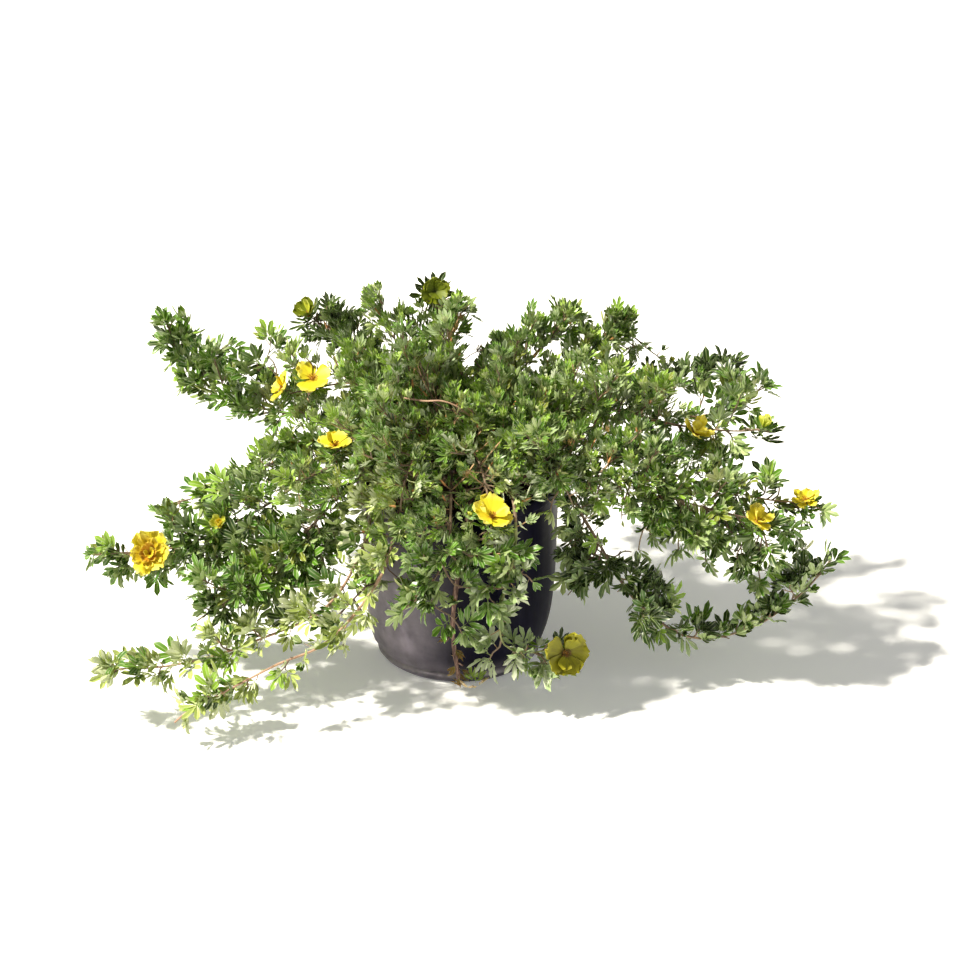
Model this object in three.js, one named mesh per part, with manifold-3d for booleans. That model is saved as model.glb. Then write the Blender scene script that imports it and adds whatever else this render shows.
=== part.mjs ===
// A low, spreading shrubby cinquefoil in its nursery pot: the pot, the root ball in it, the woody
// crown, the arching stems, the leaves that clothe them and the open flowers.
// Millimetres, +Z up, +X to the viewer's right, +Y away from the viewer. The origin is the centre
// of the pot's underside, on the surface that the pot stands on.

import * as THREE from "three";
import { mergeVertices } from "three/addons/utils/BufferGeometryUtils.js";
import Module from "manifold-3d";

const wasm = await Module();
wasm.setup();

// Pot
const POT_HEIGHT = 168;
const POT_BASE_RADIUS = 65;
const POT_WALL = 1.6;
const POT_FLOOR = 2.4;
const POT_SIDES = 30;
// The ridge round the foot begins with a slope that is this far in and this far down.
const FOOT_RIDGE = { bottom: 6, top: 9, radius: 70, slopeIn: 1.5, slopeDown: 2 };
// The outside of the wall: how far from the axis, and how high above the ground.
const WALL_OUTSIDE = [
  [69, 10.5],
  [73, 18],
  [77.5, 34],
  [80.5, 54],
  [82.5, 78],
  [83.5, 115],
  [84, 156],
];
const RIM = { bottom: 158, radius: 86, wall: 2.4 * POT_WALL };
const FLOOR_CORNER = 4;
const DRAIN_HOLES = 5;
const DRAIN_HOLE_RADIUS = 5;
const DRAIN_HOLE_CIRCLE = 46;
const DRAIN_HOLE_DEPTH = 4 * POT_FLOOR;
const DRAIN_HOLE_SIDES = 10;

// Root ball and woody crown
const GAP = 0.3;
const SOIL_TOP = 152;
const SOIL_EDGE_SAG = 3;
const SOIL_LEVEL_REACH = 20;
const SOIL_FOOT_INSET = 5;
const SOIL_SIDES = POT_SIDES;
const CROWN_RADIUS = 20;
const CROWN_STUMP_RADIUS = 16;
const CROWN_DEPTH = 20;
const CROWN_NECK = 1;
const CROWN_ARC = { start: 8, step: 14 };
const CROWN_SIDES = 24;

// Stems
const STEM_BASE_RADIUS = 2.5;
const STEM_TIP_RADIUS = 1;
const STEM_SIDES = 6;
const STEM_STEP = 26;
const STEM_START = 14;
const CURVE_STEPS = 200;

// Leaves, which are narrow where they begin, full along the middle and narrower at the tip
const LEAF_SIDES = 8;
const LEAF_STEP = 26;
const LEAF_FEWEST_STEPS = 4;
const LEAF_FULLNESS = { least: 0.35, swell: 0.65, start: 0.08, reach: 0.8 };
const LEAF_TIP_INSET = 2;
const LEAF_POINT = 1;
const CLEARANCE = 0.45;
const GROUND_CLEARANCE = 0.3;
const GROUND = { width: 1000, depth: 100 };

// Flowers
const FLOWER_SIDES = 10;
const PETALS = 5;
const PETAL_NOTCH = 0.16;
const FLOWER_STALK_RADIUS = 1;
const CALYX_RADIUS = 3.4;
const CALYX_DEPTH = 2;
const NOTCHES_FROM = CALYX_RADIUS + 1;
const PETAL_THICKNESS = 1.2;
// Where the cup bends upward: how far out, and how high, as shares of its radius and depth.
const CUP_BEND = { outside: 0.7, inside: 0.6, height: 0.4 };

// Each shoot leaves the crown at an azimuth and an elevation in degrees and arches through the
// points of its route. Its leaves begin part of the way along (0 to 1), stand out from it by
// spread, and belong to the named mass of leaves.
const SHOOTS = {
  top_flower: {
    azimuth: 100, lift: 82, leaves: "crown", leafFrom: 0.2, spread: 22,
    route: [[-5, 22, 225], [-14, 50, 264], [-20, 73, 297]],
  },
  top_left: {
    azimuth: 125, lift: 64, leaves: "crown", leafFrom: 0.2, spread: 22,
    route: [[-28, 40, 222], [-56, 72, 258], [-76, 95, 276]],
  },
  top_right: {
    azimuth: 48, lift: 64, leaves: "crown", leafFrom: 0.2, spread: 22,
    route: [[32, 38, 215], [66, 78, 243], [91, 104, 264]],
  },
  mound_left: {
    azimuth: 196, lift: 66, leaves: "crown", leafFrom: 0.2, spread: 22,
    route: [[-30, -10, 215], [-70, -22, 222], [-104, -32, 196]],
  },
  mound_front: {
    azimuth: 256, lift: 66, leaves: "crown", leafFrom: 0.2, spread: 22,
    route: [[-14, -30, 215], [-32, -64, 218], [-44, -94, 198]],
  },
  mound_right: {
    azimuth: 322, lift: 66, leaves: "crown", leafFrom: 0.2, spread: 22,
    route: [[28, -24, 215], [58, -50, 216], [84, -74, 194]],
  },
  left_high: {
    azimuth: 160, lift: 60, leaves: "crown", leafFrom: 0.2, spread: 20,
    route: [[-38, 18, 214], [-84, 42, 228], [-124, 58, 218], [-148, 62, 210]],
  },
  back_left_flower: {
    azimuth: 140, lift: 44, leaves: "back_left_flower", leafFrom: 0.35, spread: 20,
    route: [[-45, 48, 205], [-90, 90, 238], [-129, 125, 255]],
  },
  long_back_left: {
    azimuth: 154, lift: 24, leaves: "long_back_left", leafFrom: 0.3, spread: 19,
    route: [[-60, 30, 184], [-130, 72, 184], [-195, 112, 180], [-236, 135, 190], [-262, 151, 242]],
  },
  high_right: {
    azimuth: 28, lift: 48, leaves: "high_right", leafFrom: 0.3, spread: 20,
    route: [[50, 30, 206], [98, 68, 234], [136, 98, 256]],
  },
  long_back_right: {
    azimuth: 44, lift: 24, leaves: "long_back_right", leafFrom: 0.35, spread: 18,
    route: [[58, 52, 184], [125, 88, 194], [185, 107, 198], [238, 119, 208]],
  },
  right_upturned: {
    azimuth: 12, lift: 34, leaves: "right_high", leafFrom: 0.3, spread: 20,
    route: [[50, 14, 198], [120, 30, 210], [190, 38, 200], [235, 42, 204], [257, 44, 226]],
  },
  right_bud: {
    azimuth: 354, lift: 58, leaves: "right_high", leafFrom: 0.3, spread: 20,
    route: [[45, -4, 216], [120, 0, 224], [185, 2, 208], [236, 4, 202], [256, 5, 204]],
  },
  right_flower: {
    azimuth: 350, lift: 24, leaves: "right_mass", leafFrom: 0.35, spread: 20,
    route: [[60, -10, 184], [130, -18, 186], [200, -24, 168], [256, -28, 154], [286, -30, 152]],
  },
  right_mass: {
    azimuth: 336, lift: 44, leaves: "right_mass", leafFrom: 0.3, spread: 22,
    route: [[50, -26, 196], [112, -54, 194], [180, -66, 172], [228, -66, 158], [246, -66, 154]],
  },
  right_loop: {
    azimuth: 326, lift: 16, leaves: "right_loop", leafFrom: 0.4, spread: 15,
    route: [
      [52, -34, 178], [84, -46, 176], [108, -52, 140], [150, -58, 72], [196, -60, 40],
      [245, -58, 48], [288, -54, 80], [310, -50, 108],
    ],
  },
  front_right_flower: {
    azimuth: 300, lift: 34, leaves: "front_right_flower", leafFrom: 0.5, spread: 13,
    route: [
      [30, -50, 188], [44, -84, 182], [46, -108, 148], [34, -108, 90], [38, -108, 60],
      [60, -110, 54], [80, -113, 62],
    ],
  },
  front_flower: {
    azimuth: 286, lift: 56, leaves: "front", leafFrom: 0.45, spread: 15,
    route: [[10, -42, 208], [21, -78, 198], [28, -104, 164]],
  },
  front_spray: {
    azimuth: 262, lift: 34, leaves: "front", leafFrom: 0.45, spread: 17,
    route: [[-6, -50, 190], [-6, -86, 184], [-8, -110, 150], [-24, -112, 116], [-46, -112, 94]],
  },
  left_low_short: {
    azimuth: 240, lift: 22, leaves: "left_low_short", leafFrom: 0.45, spread: 15,
    route: [
      [-26, -44, 182], [-44, -78, 178], [-62, -100, 122], [-108, -114, 66], [-149, -131, 54],
      [-193, -150, 38], [-217, -159, 29], [-229, -164, 20],
    ],
  },
  left_low_long: {
    azimuth: 222, lift: 28, leaves: "left_low_long", leafFrom: 0.45, spread: 16,
    route: [
      [-38, -36, 188], [-64, -64, 178], [-80, -78, 130], [-110, -84, 82], [-169, -93, 55],
      [-210, -106, 46], [-246, -120, 46], [-288, -130, 50],
    ],
  },
  left_front: {
    azimuth: 204, lift: 26, leaves: "left_front", leafFrom: 0.4, spread: 19,
    route: [[-52, -24, 184], [-84, -36, 176], [-124, -50, 138], [-170, -64, 96], [-218, -78, 66]],
  },
  left_flower: {
    azimuth: 186, lift: 26, leaves: "left_flower", leafFrom: 0.35, spread: 19,
    route: [[-58, -8, 186], [-112, -16, 176], [-172, -24, 140], [-236, -32, 112], [-308, -36, 106]],
  },
  left_middle: {
    azimuth: 172, lift: 34, leaves: "left_middle", leafFrom: 0.35, spread: 19,
    route: [[-56, 12, 194], [-115, 22, 188], [-165, 28, 158], [-215, 32, 130], [-248, 34, 120]],
  },
  back_left_low: {
    azimuth: 112, lift: 22, leaves: "back_left_low", leafFrom: 0.4, spread: 20,
    route: [[-26, 58, 182], [-46, 98, 178], [-80, 150, 138], [-112, 190, 104]],
  },
  back_right_low: {
    azimuth: 72, lift: 22, leaves: "back_right_low", leafFrom: 0.4, spread: 20,
    route: [[22, 60, 182], [36, 100, 178], [62, 160, 138], [85, 202, 108]],
  },
};

// A bare shoot that has died back and hangs down the front of the pot to the ground.
const DRY_STEM = {
  azimuth: 280, lift: 12,
  route: [[10, -50, 174], [9, -90, 174], [0, -92, 120], [-5, -88, 64], [0, -80, 6]],
};

// Each open flower stands on a stalk from a point part of the way along its shoot (0 to 1), and
// faces along its direction. Depth is how far the petals are cupped.
const FLOWERS = {
  flower_top: { on: "top_flower", at: 1, stalk: 5, facing: [0.1, 0.35, 0.9], radius: 15, depth: 5 },
  flower_back_left: {
    on: "back_left_flower", at: 1, stalk: 5, facing: [-0.5, 0.2, 0.8], radius: 13, depth: 7,
  },
  flower_left_edge: {
    on: "left_high", at: 1, stalk: 6, facing: [-0.8, -0.2, 0.45], radius: 15, depth: 6,
  },
  flower_left_high: {
    on: "left_high", at: 0.84, stalk: 16, facing: [-0.05, -0.7, 0.7], radius: 17, depth: 4,
  },
  flower_mound: { on: "mound_left", at: 0.97, stalk: 6, facing: [-0.1, -0.1, 1], radius: 18, depth: 6 },
  flower_left: {
    on: "left_flower", at: 0.86, stalk: 15, facing: [0.05, -0.8, 0.6], radius: 19, depth: 6,
  },
  flower_left_middle: {
    on: "left_flower", at: 0.66, stalk: 9, facing: [-0.2, -0.5, 0.8], radius: 9, depth: 7,
  },
  flower_front: { on: "front_flower", at: 0.93, stalk: 8, facing: [0.1, -0.5, 0.85], radius: 19, depth: 6 },
  flower_low_right: {
    on: "front_right_flower", at: 1, stalk: 5, facing: [0.55, -0.75, 0.35], radius: 17, depth: 7,
  },
  flower_right_high: {
    on: "right_bud", at: 0.79, stalk: 8, facing: [0.3, -0.7, 0.6], radius: 16, depth: 4,
  },
  flower_right_bud: { on: "right_bud", at: 1, stalk: 5, facing: [0.3, -0.1, 0.95], radius: 9, depth: 9 },
  flower_right: { on: "right_flower", at: 1, stalk: 6, facing: [0.35, -0.1, 0.95], radius: 16, depth: 4 },
  flower_right_low: {
    on: "right_mass", at: 1, stalk: 5, facing: [0.5, -0.5, 0.7], radius: 16, depth: 5,
  },
};

const potPlastic = new THREE.MeshStandardMaterial({ color: 0x2b2a33, roughness: 0.5, metalness: 0 });
const pottingMix = new THREE.MeshStandardMaterial({ color: 0x3a2a1e, roughness: 1, metalness: 0 });
const oldBark = new THREE.MeshStandardMaterial({ color: 0x6e5240, roughness: 0.9, metalness: 0 });
const youngBark = new THREE.MeshStandardMaterial({ color: 0xa86f45, roughness: 0.7, metalness: 0 });
const leafGreen = new THREE.MeshStandardMaterial({ color: 0x4f7a2c, roughness: 0.6, metalness: 0 });
const petalYellow = new THREE.MeshStandardMaterial({ color: 0xf5d91c, roughness: 0.5, metalness: 0 });

const plant = new THREE.Group();

function addMesh(name, geometry, material) {
  const mesh = new THREE.Mesh(geometry, material.clone());
  mesh.name = name;
  plant.add(mesh);
}

// Solids that are joined and cut

function solidOf(geometry) {
  const bare = geometry.clone();
  bare.deleteAttribute("normal");
  bare.deleteAttribute("uv");
  const merged = mergeVertices(bare, 1e-3);
  const vertProperties = merged.attributes.position.array;
  const triVerts = new Uint32Array(merged.index.array);
  return new wasm.Manifold(new wasm.Mesh({ numProp: 3, vertProperties, triVerts }));
}

function geometryOf(solid) {
  const { vertProperties, triVerts } = solid.getMesh();
  const geometry = new THREE.BufferGeometry();
  geometry.setAttribute("position", new THREE.BufferAttribute(new Float32Array(vertProperties), 3));
  geometry.setIndex(new THREE.BufferAttribute(new Uint32Array(triVerts), 1));
  geometry.computeVertexNormals();
  return geometry;
}

function joined(solids) {
  return solids.reduce((sum, solid) => sum.add(solid));
}

function largestPiece(solid) {
  return solid.decompose().reduce((best, piece) => (piece.volume() > best.volume() ? piece : best));
}

// A profile of [radius, height] turned about the Z axis.
function turned(profile, sides) {
  const points = profile.map(([radius, height]) => new THREE.Vector2(radius, height));
  return new THREE.LatheGeometry(points, sides).rotateX(Math.PI / 2);
}

// A profile of [radius, share of the length] turned about the curve instead of a straight axis.
function turnedAlong(profile, curve, sides) {
  const frames = curve.computeFrenetFrames(CURVE_STEPS, false);
  const points = profile.map(([radius, share]) => new THREE.Vector2(radius, share));
  const geometry = new THREE.LatheGeometry(points, sides);
  const position = geometry.attributes.position;
  for (let i = 0; i < position.count; i += 1) {
    const share = THREE.MathUtils.clamp(position.getY(i), 0, 1);
    const step = Math.round(share * CURVE_STEPS);
    const place = curve.getPointAt(share);
    place.addScaledVector(frames.binormals[step], position.getX(i));
    place.addScaledVector(frames.normals[step], position.getZ(i));
    position.setXYZ(i, place.x, place.y, place.z);
  }
  return geometry;
}

// Pot

function wallRadius(height) {
  const upper = WALL_OUTSIDE.findIndex((point) => point[1] >= height);
  if (upper <= 0) return WALL_OUTSIDE[0][0];
  const [lowRadius, lowHeight] = WALL_OUTSIDE[upper - 1];
  const [highRadius, highHeight] = WALL_OUTSIDE[upper];
  const share = (height - lowHeight) / (highHeight - lowHeight);
  return THREE.MathUtils.lerp(lowRadius, highRadius, share);
}

function potOutside(grow) {
  return [
    [0, -grow],
    [POT_BASE_RADIUS + grow, -grow],
    [FOOT_RIDGE.radius - FOOT_RIDGE.slopeIn + grow, FOOT_RIDGE.bottom - FOOT_RIDGE.slopeDown],
    [FOOT_RIDGE.radius + grow, FOOT_RIDGE.bottom],
    [FOOT_RIDGE.radius + grow, FOOT_RIDGE.top],
    ...WALL_OUTSIDE.map(([radius, height]) => [radius + grow, height]),
    [RIM.radius + grow, RIM.bottom],
    [RIM.radius + grow, POT_HEIGHT + grow],
  ];
}

const potInside = [
  [RIM.radius - RIM.wall, POT_HEIGHT],
  ...WALL_OUTSIDE.map(([radius, height]) => [radius - POT_WALL, height]).reverse(),
  [POT_BASE_RADIUS, POT_FLOOR + FLOOR_CORNER],
  [POT_BASE_RADIUS - FLOOR_CORNER, POT_FLOOR],
  [0, POT_FLOOR],
];
let pot = solidOf(turned([...potOutside(0), ...potInside], POT_SIDES));
for (let i = 0; i < DRAIN_HOLES; i += 1) {
  const angle = (i / DRAIN_HOLES) * 2 * Math.PI;
  const hole = new THREE.CylinderGeometry(
    DRAIN_HOLE_RADIUS,
    DRAIN_HOLE_RADIUS,
    DRAIN_HOLE_DEPTH,
    DRAIN_HOLE_SIDES,
  );
  hole.rotateX(Math.PI / 2);
  hole.translate(DRAIN_HOLE_CIRCLE * Math.cos(angle), DRAIN_HOLE_CIRCLE * Math.sin(angle), 0);
  pot = pot.subtract(solidOf(hole));
}
addMesh("pot", geometryOf(pot), potPlastic);

// Root ball, with a socket where the crown's stump stands in it

const stumpFoot = SOIL_TOP - CROWN_DEPTH;
const soilWall = WALL_OUTSIDE.filter(([, height]) => height < SOIL_TOP - SOIL_EDGE_SAG)
  .map(([radius, height]) => [radius - POT_WALL - GAP, height]);
const soilProfile = [
  [0, POT_FLOOR + GAP],
  [POT_BASE_RADIUS - SOIL_FOOT_INSET, POT_FLOOR + GAP],
  ...soilWall,
  [wallRadius(SOIL_TOP) - POT_WALL - GAP, SOIL_TOP - SOIL_EDGE_SAG],
  [CROWN_STUMP_RADIUS + SOIL_LEVEL_REACH, SOIL_TOP],
  [CROWN_STUMP_RADIUS + GAP, SOIL_TOP],
  [CROWN_STUMP_RADIUS + GAP, stumpFoot - GAP],
  [0, stumpFoot - GAP],
];
addMesh("soil", turned(soilProfile, SOIL_SIDES), pottingMix);

// Woody crown: a rounded knot of old wood on a stump

const crownCentre = new THREE.Vector3(0, 0, SOIL_TOP);
const crownProfile = [
  [0, stumpFoot],
  [CROWN_STUMP_RADIUS, stumpFoot],
  [CROWN_STUMP_RADIUS, SOIL_TOP + CROWN_NECK],
];
for (let angle = CROWN_ARC.start; angle < 90; angle += CROWN_ARC.step) {
  const turn = THREE.MathUtils.degToRad(angle);
  crownProfile.push([CROWN_RADIUS * Math.cos(turn), SOIL_TOP + CROWN_RADIUS * Math.sin(turn)]);
}
crownProfile.push([0, SOIL_TOP + CROWN_RADIUS]);
addMesh("woody_crown", turned(crownProfile, CROWN_SIDES), oldBark);

// Stems

function shootCurve({ azimuth, lift, route }) {
  const turn = THREE.MathUtils.degToRad(azimuth);
  const rise = THREE.MathUtils.degToRad(lift);
  const outward = new THREE.Vector3(
    Math.cos(rise) * Math.cos(turn),
    Math.cos(rise) * Math.sin(turn),
    Math.sin(rise),
  );
  const root = crownCentre.clone().addScaledVector(outward, CROWN_RADIUS + GAP);
  const start = root.clone().addScaledVector(outward, STEM_START);
  const points = [root, start, ...route.map((point) => new THREE.Vector3(...point))];
  return new THREE.CatmullRomCurve3(points, false, "centripetal");
}

function stemRadius(share) {
  return THREE.MathUtils.lerp(STEM_BASE_RADIUS, STEM_TIP_RADIUS, share);
}

function stem(curve, grow) {
  const steps = Math.ceil(curve.getLength() / STEM_STEP);
  const profile = [[0, 0]];
  for (let i = 0; i <= steps; i += 1) profile.push([stemRadius(i / steps) + grow, i / steps]);
  profile.push([0, 1]);
  return turnedAlong(profile, curve, STEM_SIDES);
}

const curves = {};
for (const [name, shoot] of Object.entries(SHOOTS)) {
  curves[name] = shootCurve(shoot);
  addMesh("stem_" + name, stem(curves[name], 0), youngBark);
}
curves.dry = shootCurve(DRY_STEM);
addMesh("stem_dry", stem(curves.dry, 0), oldBark);

// Flowers

// The room that a flower takes up: its stalk, calyx and cup, filled in, with grow round it all.
function flowerRoom({ stalk, radius, depth }, grow) {
  return turned([
    [0, -grow],
    [FLOWER_STALK_RADIUS + grow, -grow],
    [FLOWER_STALK_RADIUS + grow, stalk - CALYX_DEPTH],
    [CALYX_RADIUS + grow, stalk - grow],
    [radius + grow, stalk + CUP_BEND.height * depth - grow],
    [radius + grow, stalk + depth + PETAL_THICKNESS + grow],
    [0, stalk + depth + PETAL_THICKNESS + grow],
  ], FLOWER_SIDES);
}

// A thin cup with its edge notched between the petals.
function flowerHead({ stalk, radius, depth }) {
  const head = turned([
    [0, 0],
    [FLOWER_STALK_RADIUS, 0],
    [FLOWER_STALK_RADIUS, stalk - CALYX_DEPTH],
    [CALYX_RADIUS, stalk],
    [CUP_BEND.outside * radius, stalk + CUP_BEND.height * depth],
    [radius, stalk + depth],
    [radius, stalk + depth + PETAL_THICKNESS],
    [CUP_BEND.inside * radius, stalk + CUP_BEND.height * depth + PETAL_THICKNESS],
    [0, stalk + PETAL_THICKNESS],
  ], FLOWER_SIDES);
  const position = head.attributes.position;
  for (let i = 0; i < position.count; i += 1) {
    const x = position.getX(i);
    const y = position.getY(i);
    const notch = PETAL_NOTCH * Math.max(0, Math.cos(PETALS * Math.atan2(y, x)));
    const share = Math.hypot(x, y) > NOTCHES_FROM ? 1 - notch : 1;
    position.setXY(i, x * share, y * share);
  }
  return head;
}

function onItsShoot(flower, geometry) {
  const facing = new THREE.Vector3(...flower.facing).normalize();
  const curve = curves[flower.on];
  const foot = curve.getPointAt(flower.at);
  const along = Math.abs(facing.dot(curve.getTangentAt(flower.at)));
  const across = Math.sqrt(1 - along ** 2);
  const besideStem = (stemRadius(flower.at) + GAP + FLOWER_STALK_RADIUS * along) / across;
  const pastTip = GAP + STEM_TIP_RADIUS * across;
  foot.addScaledVector(facing, flower.at < 1 ? besideStem : pastTip);
  const turn = new THREE.Quaternion().setFromUnitVectors(new THREE.Vector3(0, 0, 1), facing);
  const place = new THREE.Matrix4().compose(foot, turn, new THREE.Vector3(1, 1, 1));
  return geometry.applyMatrix4(place);
}

for (const [name, flower] of Object.entries(FLOWERS)) {
  addMesh(name, onItsShoot(flower, flowerHead(flower)), petalYellow);
}

// Leaves: a plain closed envelope round each shoot, cut clear of everything that runs through it

function leafEnvelope(name, grow) {
  const { leafFrom, spread } = SHOOTS[name];
  const curve = curves[name];
  const length = curve.getLength();
  const tipShare = 1 - LEAF_TIP_INSET / length;
  const steps = Math.max(LEAF_FEWEST_STEPS, Math.round(((tipShare - leafFrom) * length) / LEAF_STEP));
  const profile = [[0, leafFrom - grow / length]];
  for (let i = 0; i <= steps; i += 1) {
    const share = i / steps;
    const swell = Math.sqrt(Math.sin(Math.PI * (LEAF_FULLNESS.start + LEAF_FULLNESS.reach * share)));
    const fullness = LEAF_FULLNESS.least + LEAF_FULLNESS.swell * swell;
    profile.push([spread * fullness + grow, THREE.MathUtils.lerp(leafFrom, tipShare, share)]);
  }
  profile[1][1] -= grow / length;
  profile.push([0, Math.min(1, tipShare + (LEAF_POINT + grow) / length)]);
  return solidOf(turnedAlong(profile, curve, LEAF_SIDES));
}

const everyStem = joined(Object.values(curves).map((curve) => solidOf(stem(curve, CLEARANCE))));
const everyFlower = joined(
  Object.values(FLOWERS).map((flower) => solidOf(onItsShoot(flower, flowerRoom(flower, CLEARANCE)))),
);
const potRoom = solidOf(turned([...potOutside(CLEARANCE), [0, POT_HEIGHT + CLEARANCE]], POT_SIDES));
const ground = new THREE.BoxGeometry(GROUND.width, GROUND.width, GROUND.depth);
ground.translate(0, 0, GROUND_CLEARANCE - GROUND.depth / 2);
let taken = joined([everyStem, everyFlower, potRoom, solidOf(ground)]);

for (const mass of new Set(Object.values(SHOOTS).map((shoot) => shoot.leaves))) {
  const names = Object.keys(SHOOTS).filter((name) => SHOOTS[name].leaves === mass);
  const leaves = joined(names.map((name) => leafEnvelope(name, 0))).subtract(taken);
  addMesh("leaves_" + mass, geometryOf(largestPiece(leaves)), leafGreen);
  taken = taken.add(joined(names.map((name) => leafEnvelope(name, CLEARANCE))));
}

export default plant;
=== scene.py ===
# %% [markdown]
# # A flowering shrub in its nursery pot
#
# This lesson builds the looks of a low shrubby cinquefoil: long arching stems, thousands of small
# divided leaves, a dozen yellow flowers and a scuffed dark pot. The measured model gives the place
# and size of every stem, flower and pot wall, and everything here is modelled round those places.

# %% Load the measured model
import math
import random

import bmesh
import bpy
import numpy as np
from mathutils import Matrix, Vector


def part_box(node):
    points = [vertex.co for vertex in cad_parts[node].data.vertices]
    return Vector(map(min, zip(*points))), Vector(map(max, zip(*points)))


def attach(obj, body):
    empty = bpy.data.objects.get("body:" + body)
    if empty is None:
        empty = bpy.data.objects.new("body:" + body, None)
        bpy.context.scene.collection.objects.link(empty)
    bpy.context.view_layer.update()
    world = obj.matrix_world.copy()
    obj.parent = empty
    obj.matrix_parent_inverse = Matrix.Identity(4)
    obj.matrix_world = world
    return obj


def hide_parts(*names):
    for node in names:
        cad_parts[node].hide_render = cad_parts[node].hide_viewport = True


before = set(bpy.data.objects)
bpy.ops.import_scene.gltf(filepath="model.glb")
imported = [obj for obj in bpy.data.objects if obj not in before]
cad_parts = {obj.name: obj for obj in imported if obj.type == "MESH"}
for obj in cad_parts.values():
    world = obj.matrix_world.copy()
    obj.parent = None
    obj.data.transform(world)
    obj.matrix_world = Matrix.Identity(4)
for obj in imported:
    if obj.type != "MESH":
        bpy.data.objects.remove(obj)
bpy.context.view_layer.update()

scene = bpy.context.scene
MM = 0.001

# %% [markdown]
# ## Camera
#
# The photograph looks down on the plant at 26 degrees from about two metres. A long lens at that
# distance keeps the pot's sides nearly parallel, as they are in the picture. The target is the
# point that lies in the middle of the picture.

# %% Place the camera
CAMERA_TARGET = Vector((0.0258, 0.0, 0.149))
CAMERA_DISTANCE = 2.0
CAMERA_ELEVATION = math.radians(26)
PICTURE_PIXELS = 980
MM_PER_PIXEL = 0.846
SENSOR_WIDTH = 36.0

camera_data = bpy.data.cameras.new("camera")
camera_data.sensor_width = SENSOR_WIDTH
picture_width = PICTURE_PIXELS * MM_PER_PIXEL * MM
camera_data.lens = SENSOR_WIDTH * CAMERA_DISTANCE / picture_width
camera_data.clip_end = 60
camera = bpy.data.objects.new("camera", camera_data)
back = Vector((0, -math.cos(CAMERA_ELEVATION), math.sin(CAMERA_ELEVATION)))
camera.location = CAMERA_TARGET + CAMERA_DISTANCE * back
camera.rotation_euler = (math.pi / 2 - CAMERA_ELEVATION, 0, 0)
scene.collection.objects.link(camera)
scene.camera = camera
print("lens", round(camera_data.lens, 1), "mm")

# %% [markdown]
# ## Colours and nodes
#
# A colour read off a picture or a chart is an sRGB hex value, while a shader wants linear light.
# One function does that change. A second one adds a node, sets its properties and sockets and
# links whatever sockets it is handed. A third starts an empty material.

# %% Helpers for every material
def linear(hex_colour):
    """Linear RGBA of an sRGB hex colour such as "#4f7a2c"."""
    channels = [int(hex_colour[i : i + 2], 16) / 255 for i in (1, 3, 5)]
    return (*[c / 12.92 if c < 0.04045 else ((c + 0.055) / 1.055) ** 2.4 for c in channels], 1.0)


def add_node(tree, kind, sockets=None, stops=None, steps=False, **settings):
    """Adds a shader node and sets its properties, its sockets and a ramp's stops.

    A socket takes a value, another socket, or a node, whose first output in use is linked.
    """
    made = tree.nodes.new("ShaderNode" + kind)
    for name, value in settings.items():
        setattr(made, name, value)
    for name, value in (sockets or {}).items():
        if isinstance(value, bpy.types.Node):
            value = next(output for output in value.outputs if output.enabled)
        if isinstance(value, bpy.types.NodeSocket):
            tree.links.new(value, made.inputs[name])
        else:
            made.inputs[name].default_value = value
    if stops:
        ramp = made.color_ramp
        while len(ramp.elements) < len(stops):
            ramp.elements.new(0.5)
        for element, (place, value) in zip(ramp.elements, stops):
            element.position = place
            element.color = linear(value) if isinstance(value, str) else (value, value, value, 1)
        ramp.interpolation = "CONSTANT" if steps else "LINEAR"
    return made


def new_material(name):
    """An empty node material and its tree."""
    material = bpy.data.materials.new(name)
    material.use_nodes = True
    material.node_tree.nodes.clear()
    return material, material.node_tree


# %% [markdown]
# ## Studio
#
# A plain pale floor and a pale surround, with a sun high on the left, where it stands in the
# picture, and one large weak lamp on the right that keeps the shaded side readable.

# %% Floor and lights
FLOOR_SIZE = 24.0
bpy.ops.object.select_all(action="DESELECT")
bpy.ops.mesh.primitive_plane_add(size=FLOOR_SIZE, location=(0, 0, 0))
floor = bpy.context.object
floor.name = "floor"
paper, tree = new_material("matt_white_paper")
surface = add_node(tree, "BsdfPrincipled", {
    "Base Color": linear("#f6f6f4"), "Roughness": 0.9, "Specular IOR Level": 0.1,
    "Emission Color": linear("#f6f6f4"), "Emission Strength": 0.2,
})
add_node(tree, "OutputMaterial", {"Surface": surface})
floor.data.materials.append(paper)

# Each light: its kind, where it stands, its width (degrees or metres), its strength and its colour
LIGHTS = {
    "sun_side": ("SUN", (-1.1, -0.2, 1.6), 4, 8.6, "#fff9ec"),
    "sky_side": ("AREA", (1.9, -1.3, 1.5), 1.6, 5, "#f0f3ff"),
}
for name, (kind, place, width, power, colour) in LIGHTS.items():
    data = bpy.data.lights.new(name, kind)
    if kind == "SUN":
        data.angle = math.radians(width)
    else:
        data.size = width
    data.energy = power
    data.color = linear(colour)[:3]
    light = bpy.data.objects.new(name, data)
    light.location = place
    light.rotation_euler = (CAMERA_TARGET - Vector(place)).to_track_quat("-Z", "Y").to_euler()
    scene.collection.objects.link(light)

world = bpy.data.worlds.new("surround")
world.use_nodes = True
world.node_tree.nodes["Background"].inputs["Color"].default_value = linear("#fdfbf4")
world.node_tree.nodes["Background"].inputs["Strength"].default_value = 0.3
scene.world = world
scene.view_settings.view_transform = "Standard"
print("lights", list(LIGHTS))

# %% [markdown]
# ## Working in edit mode
#
# Every new piece starts from a primitive that is deselected from all else, and is then shaped with
# edit-mode operators on faces or edges picked by their place. These helpers do the picking.

# %% Helpers for edit mode
def start_with(operator, **settings):
    """Adds a primitive with nothing else selected and returns its object."""
    bpy.ops.object.select_all(action="DESELECT")
    operator(**settings)
    return bpy.context.object


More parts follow.
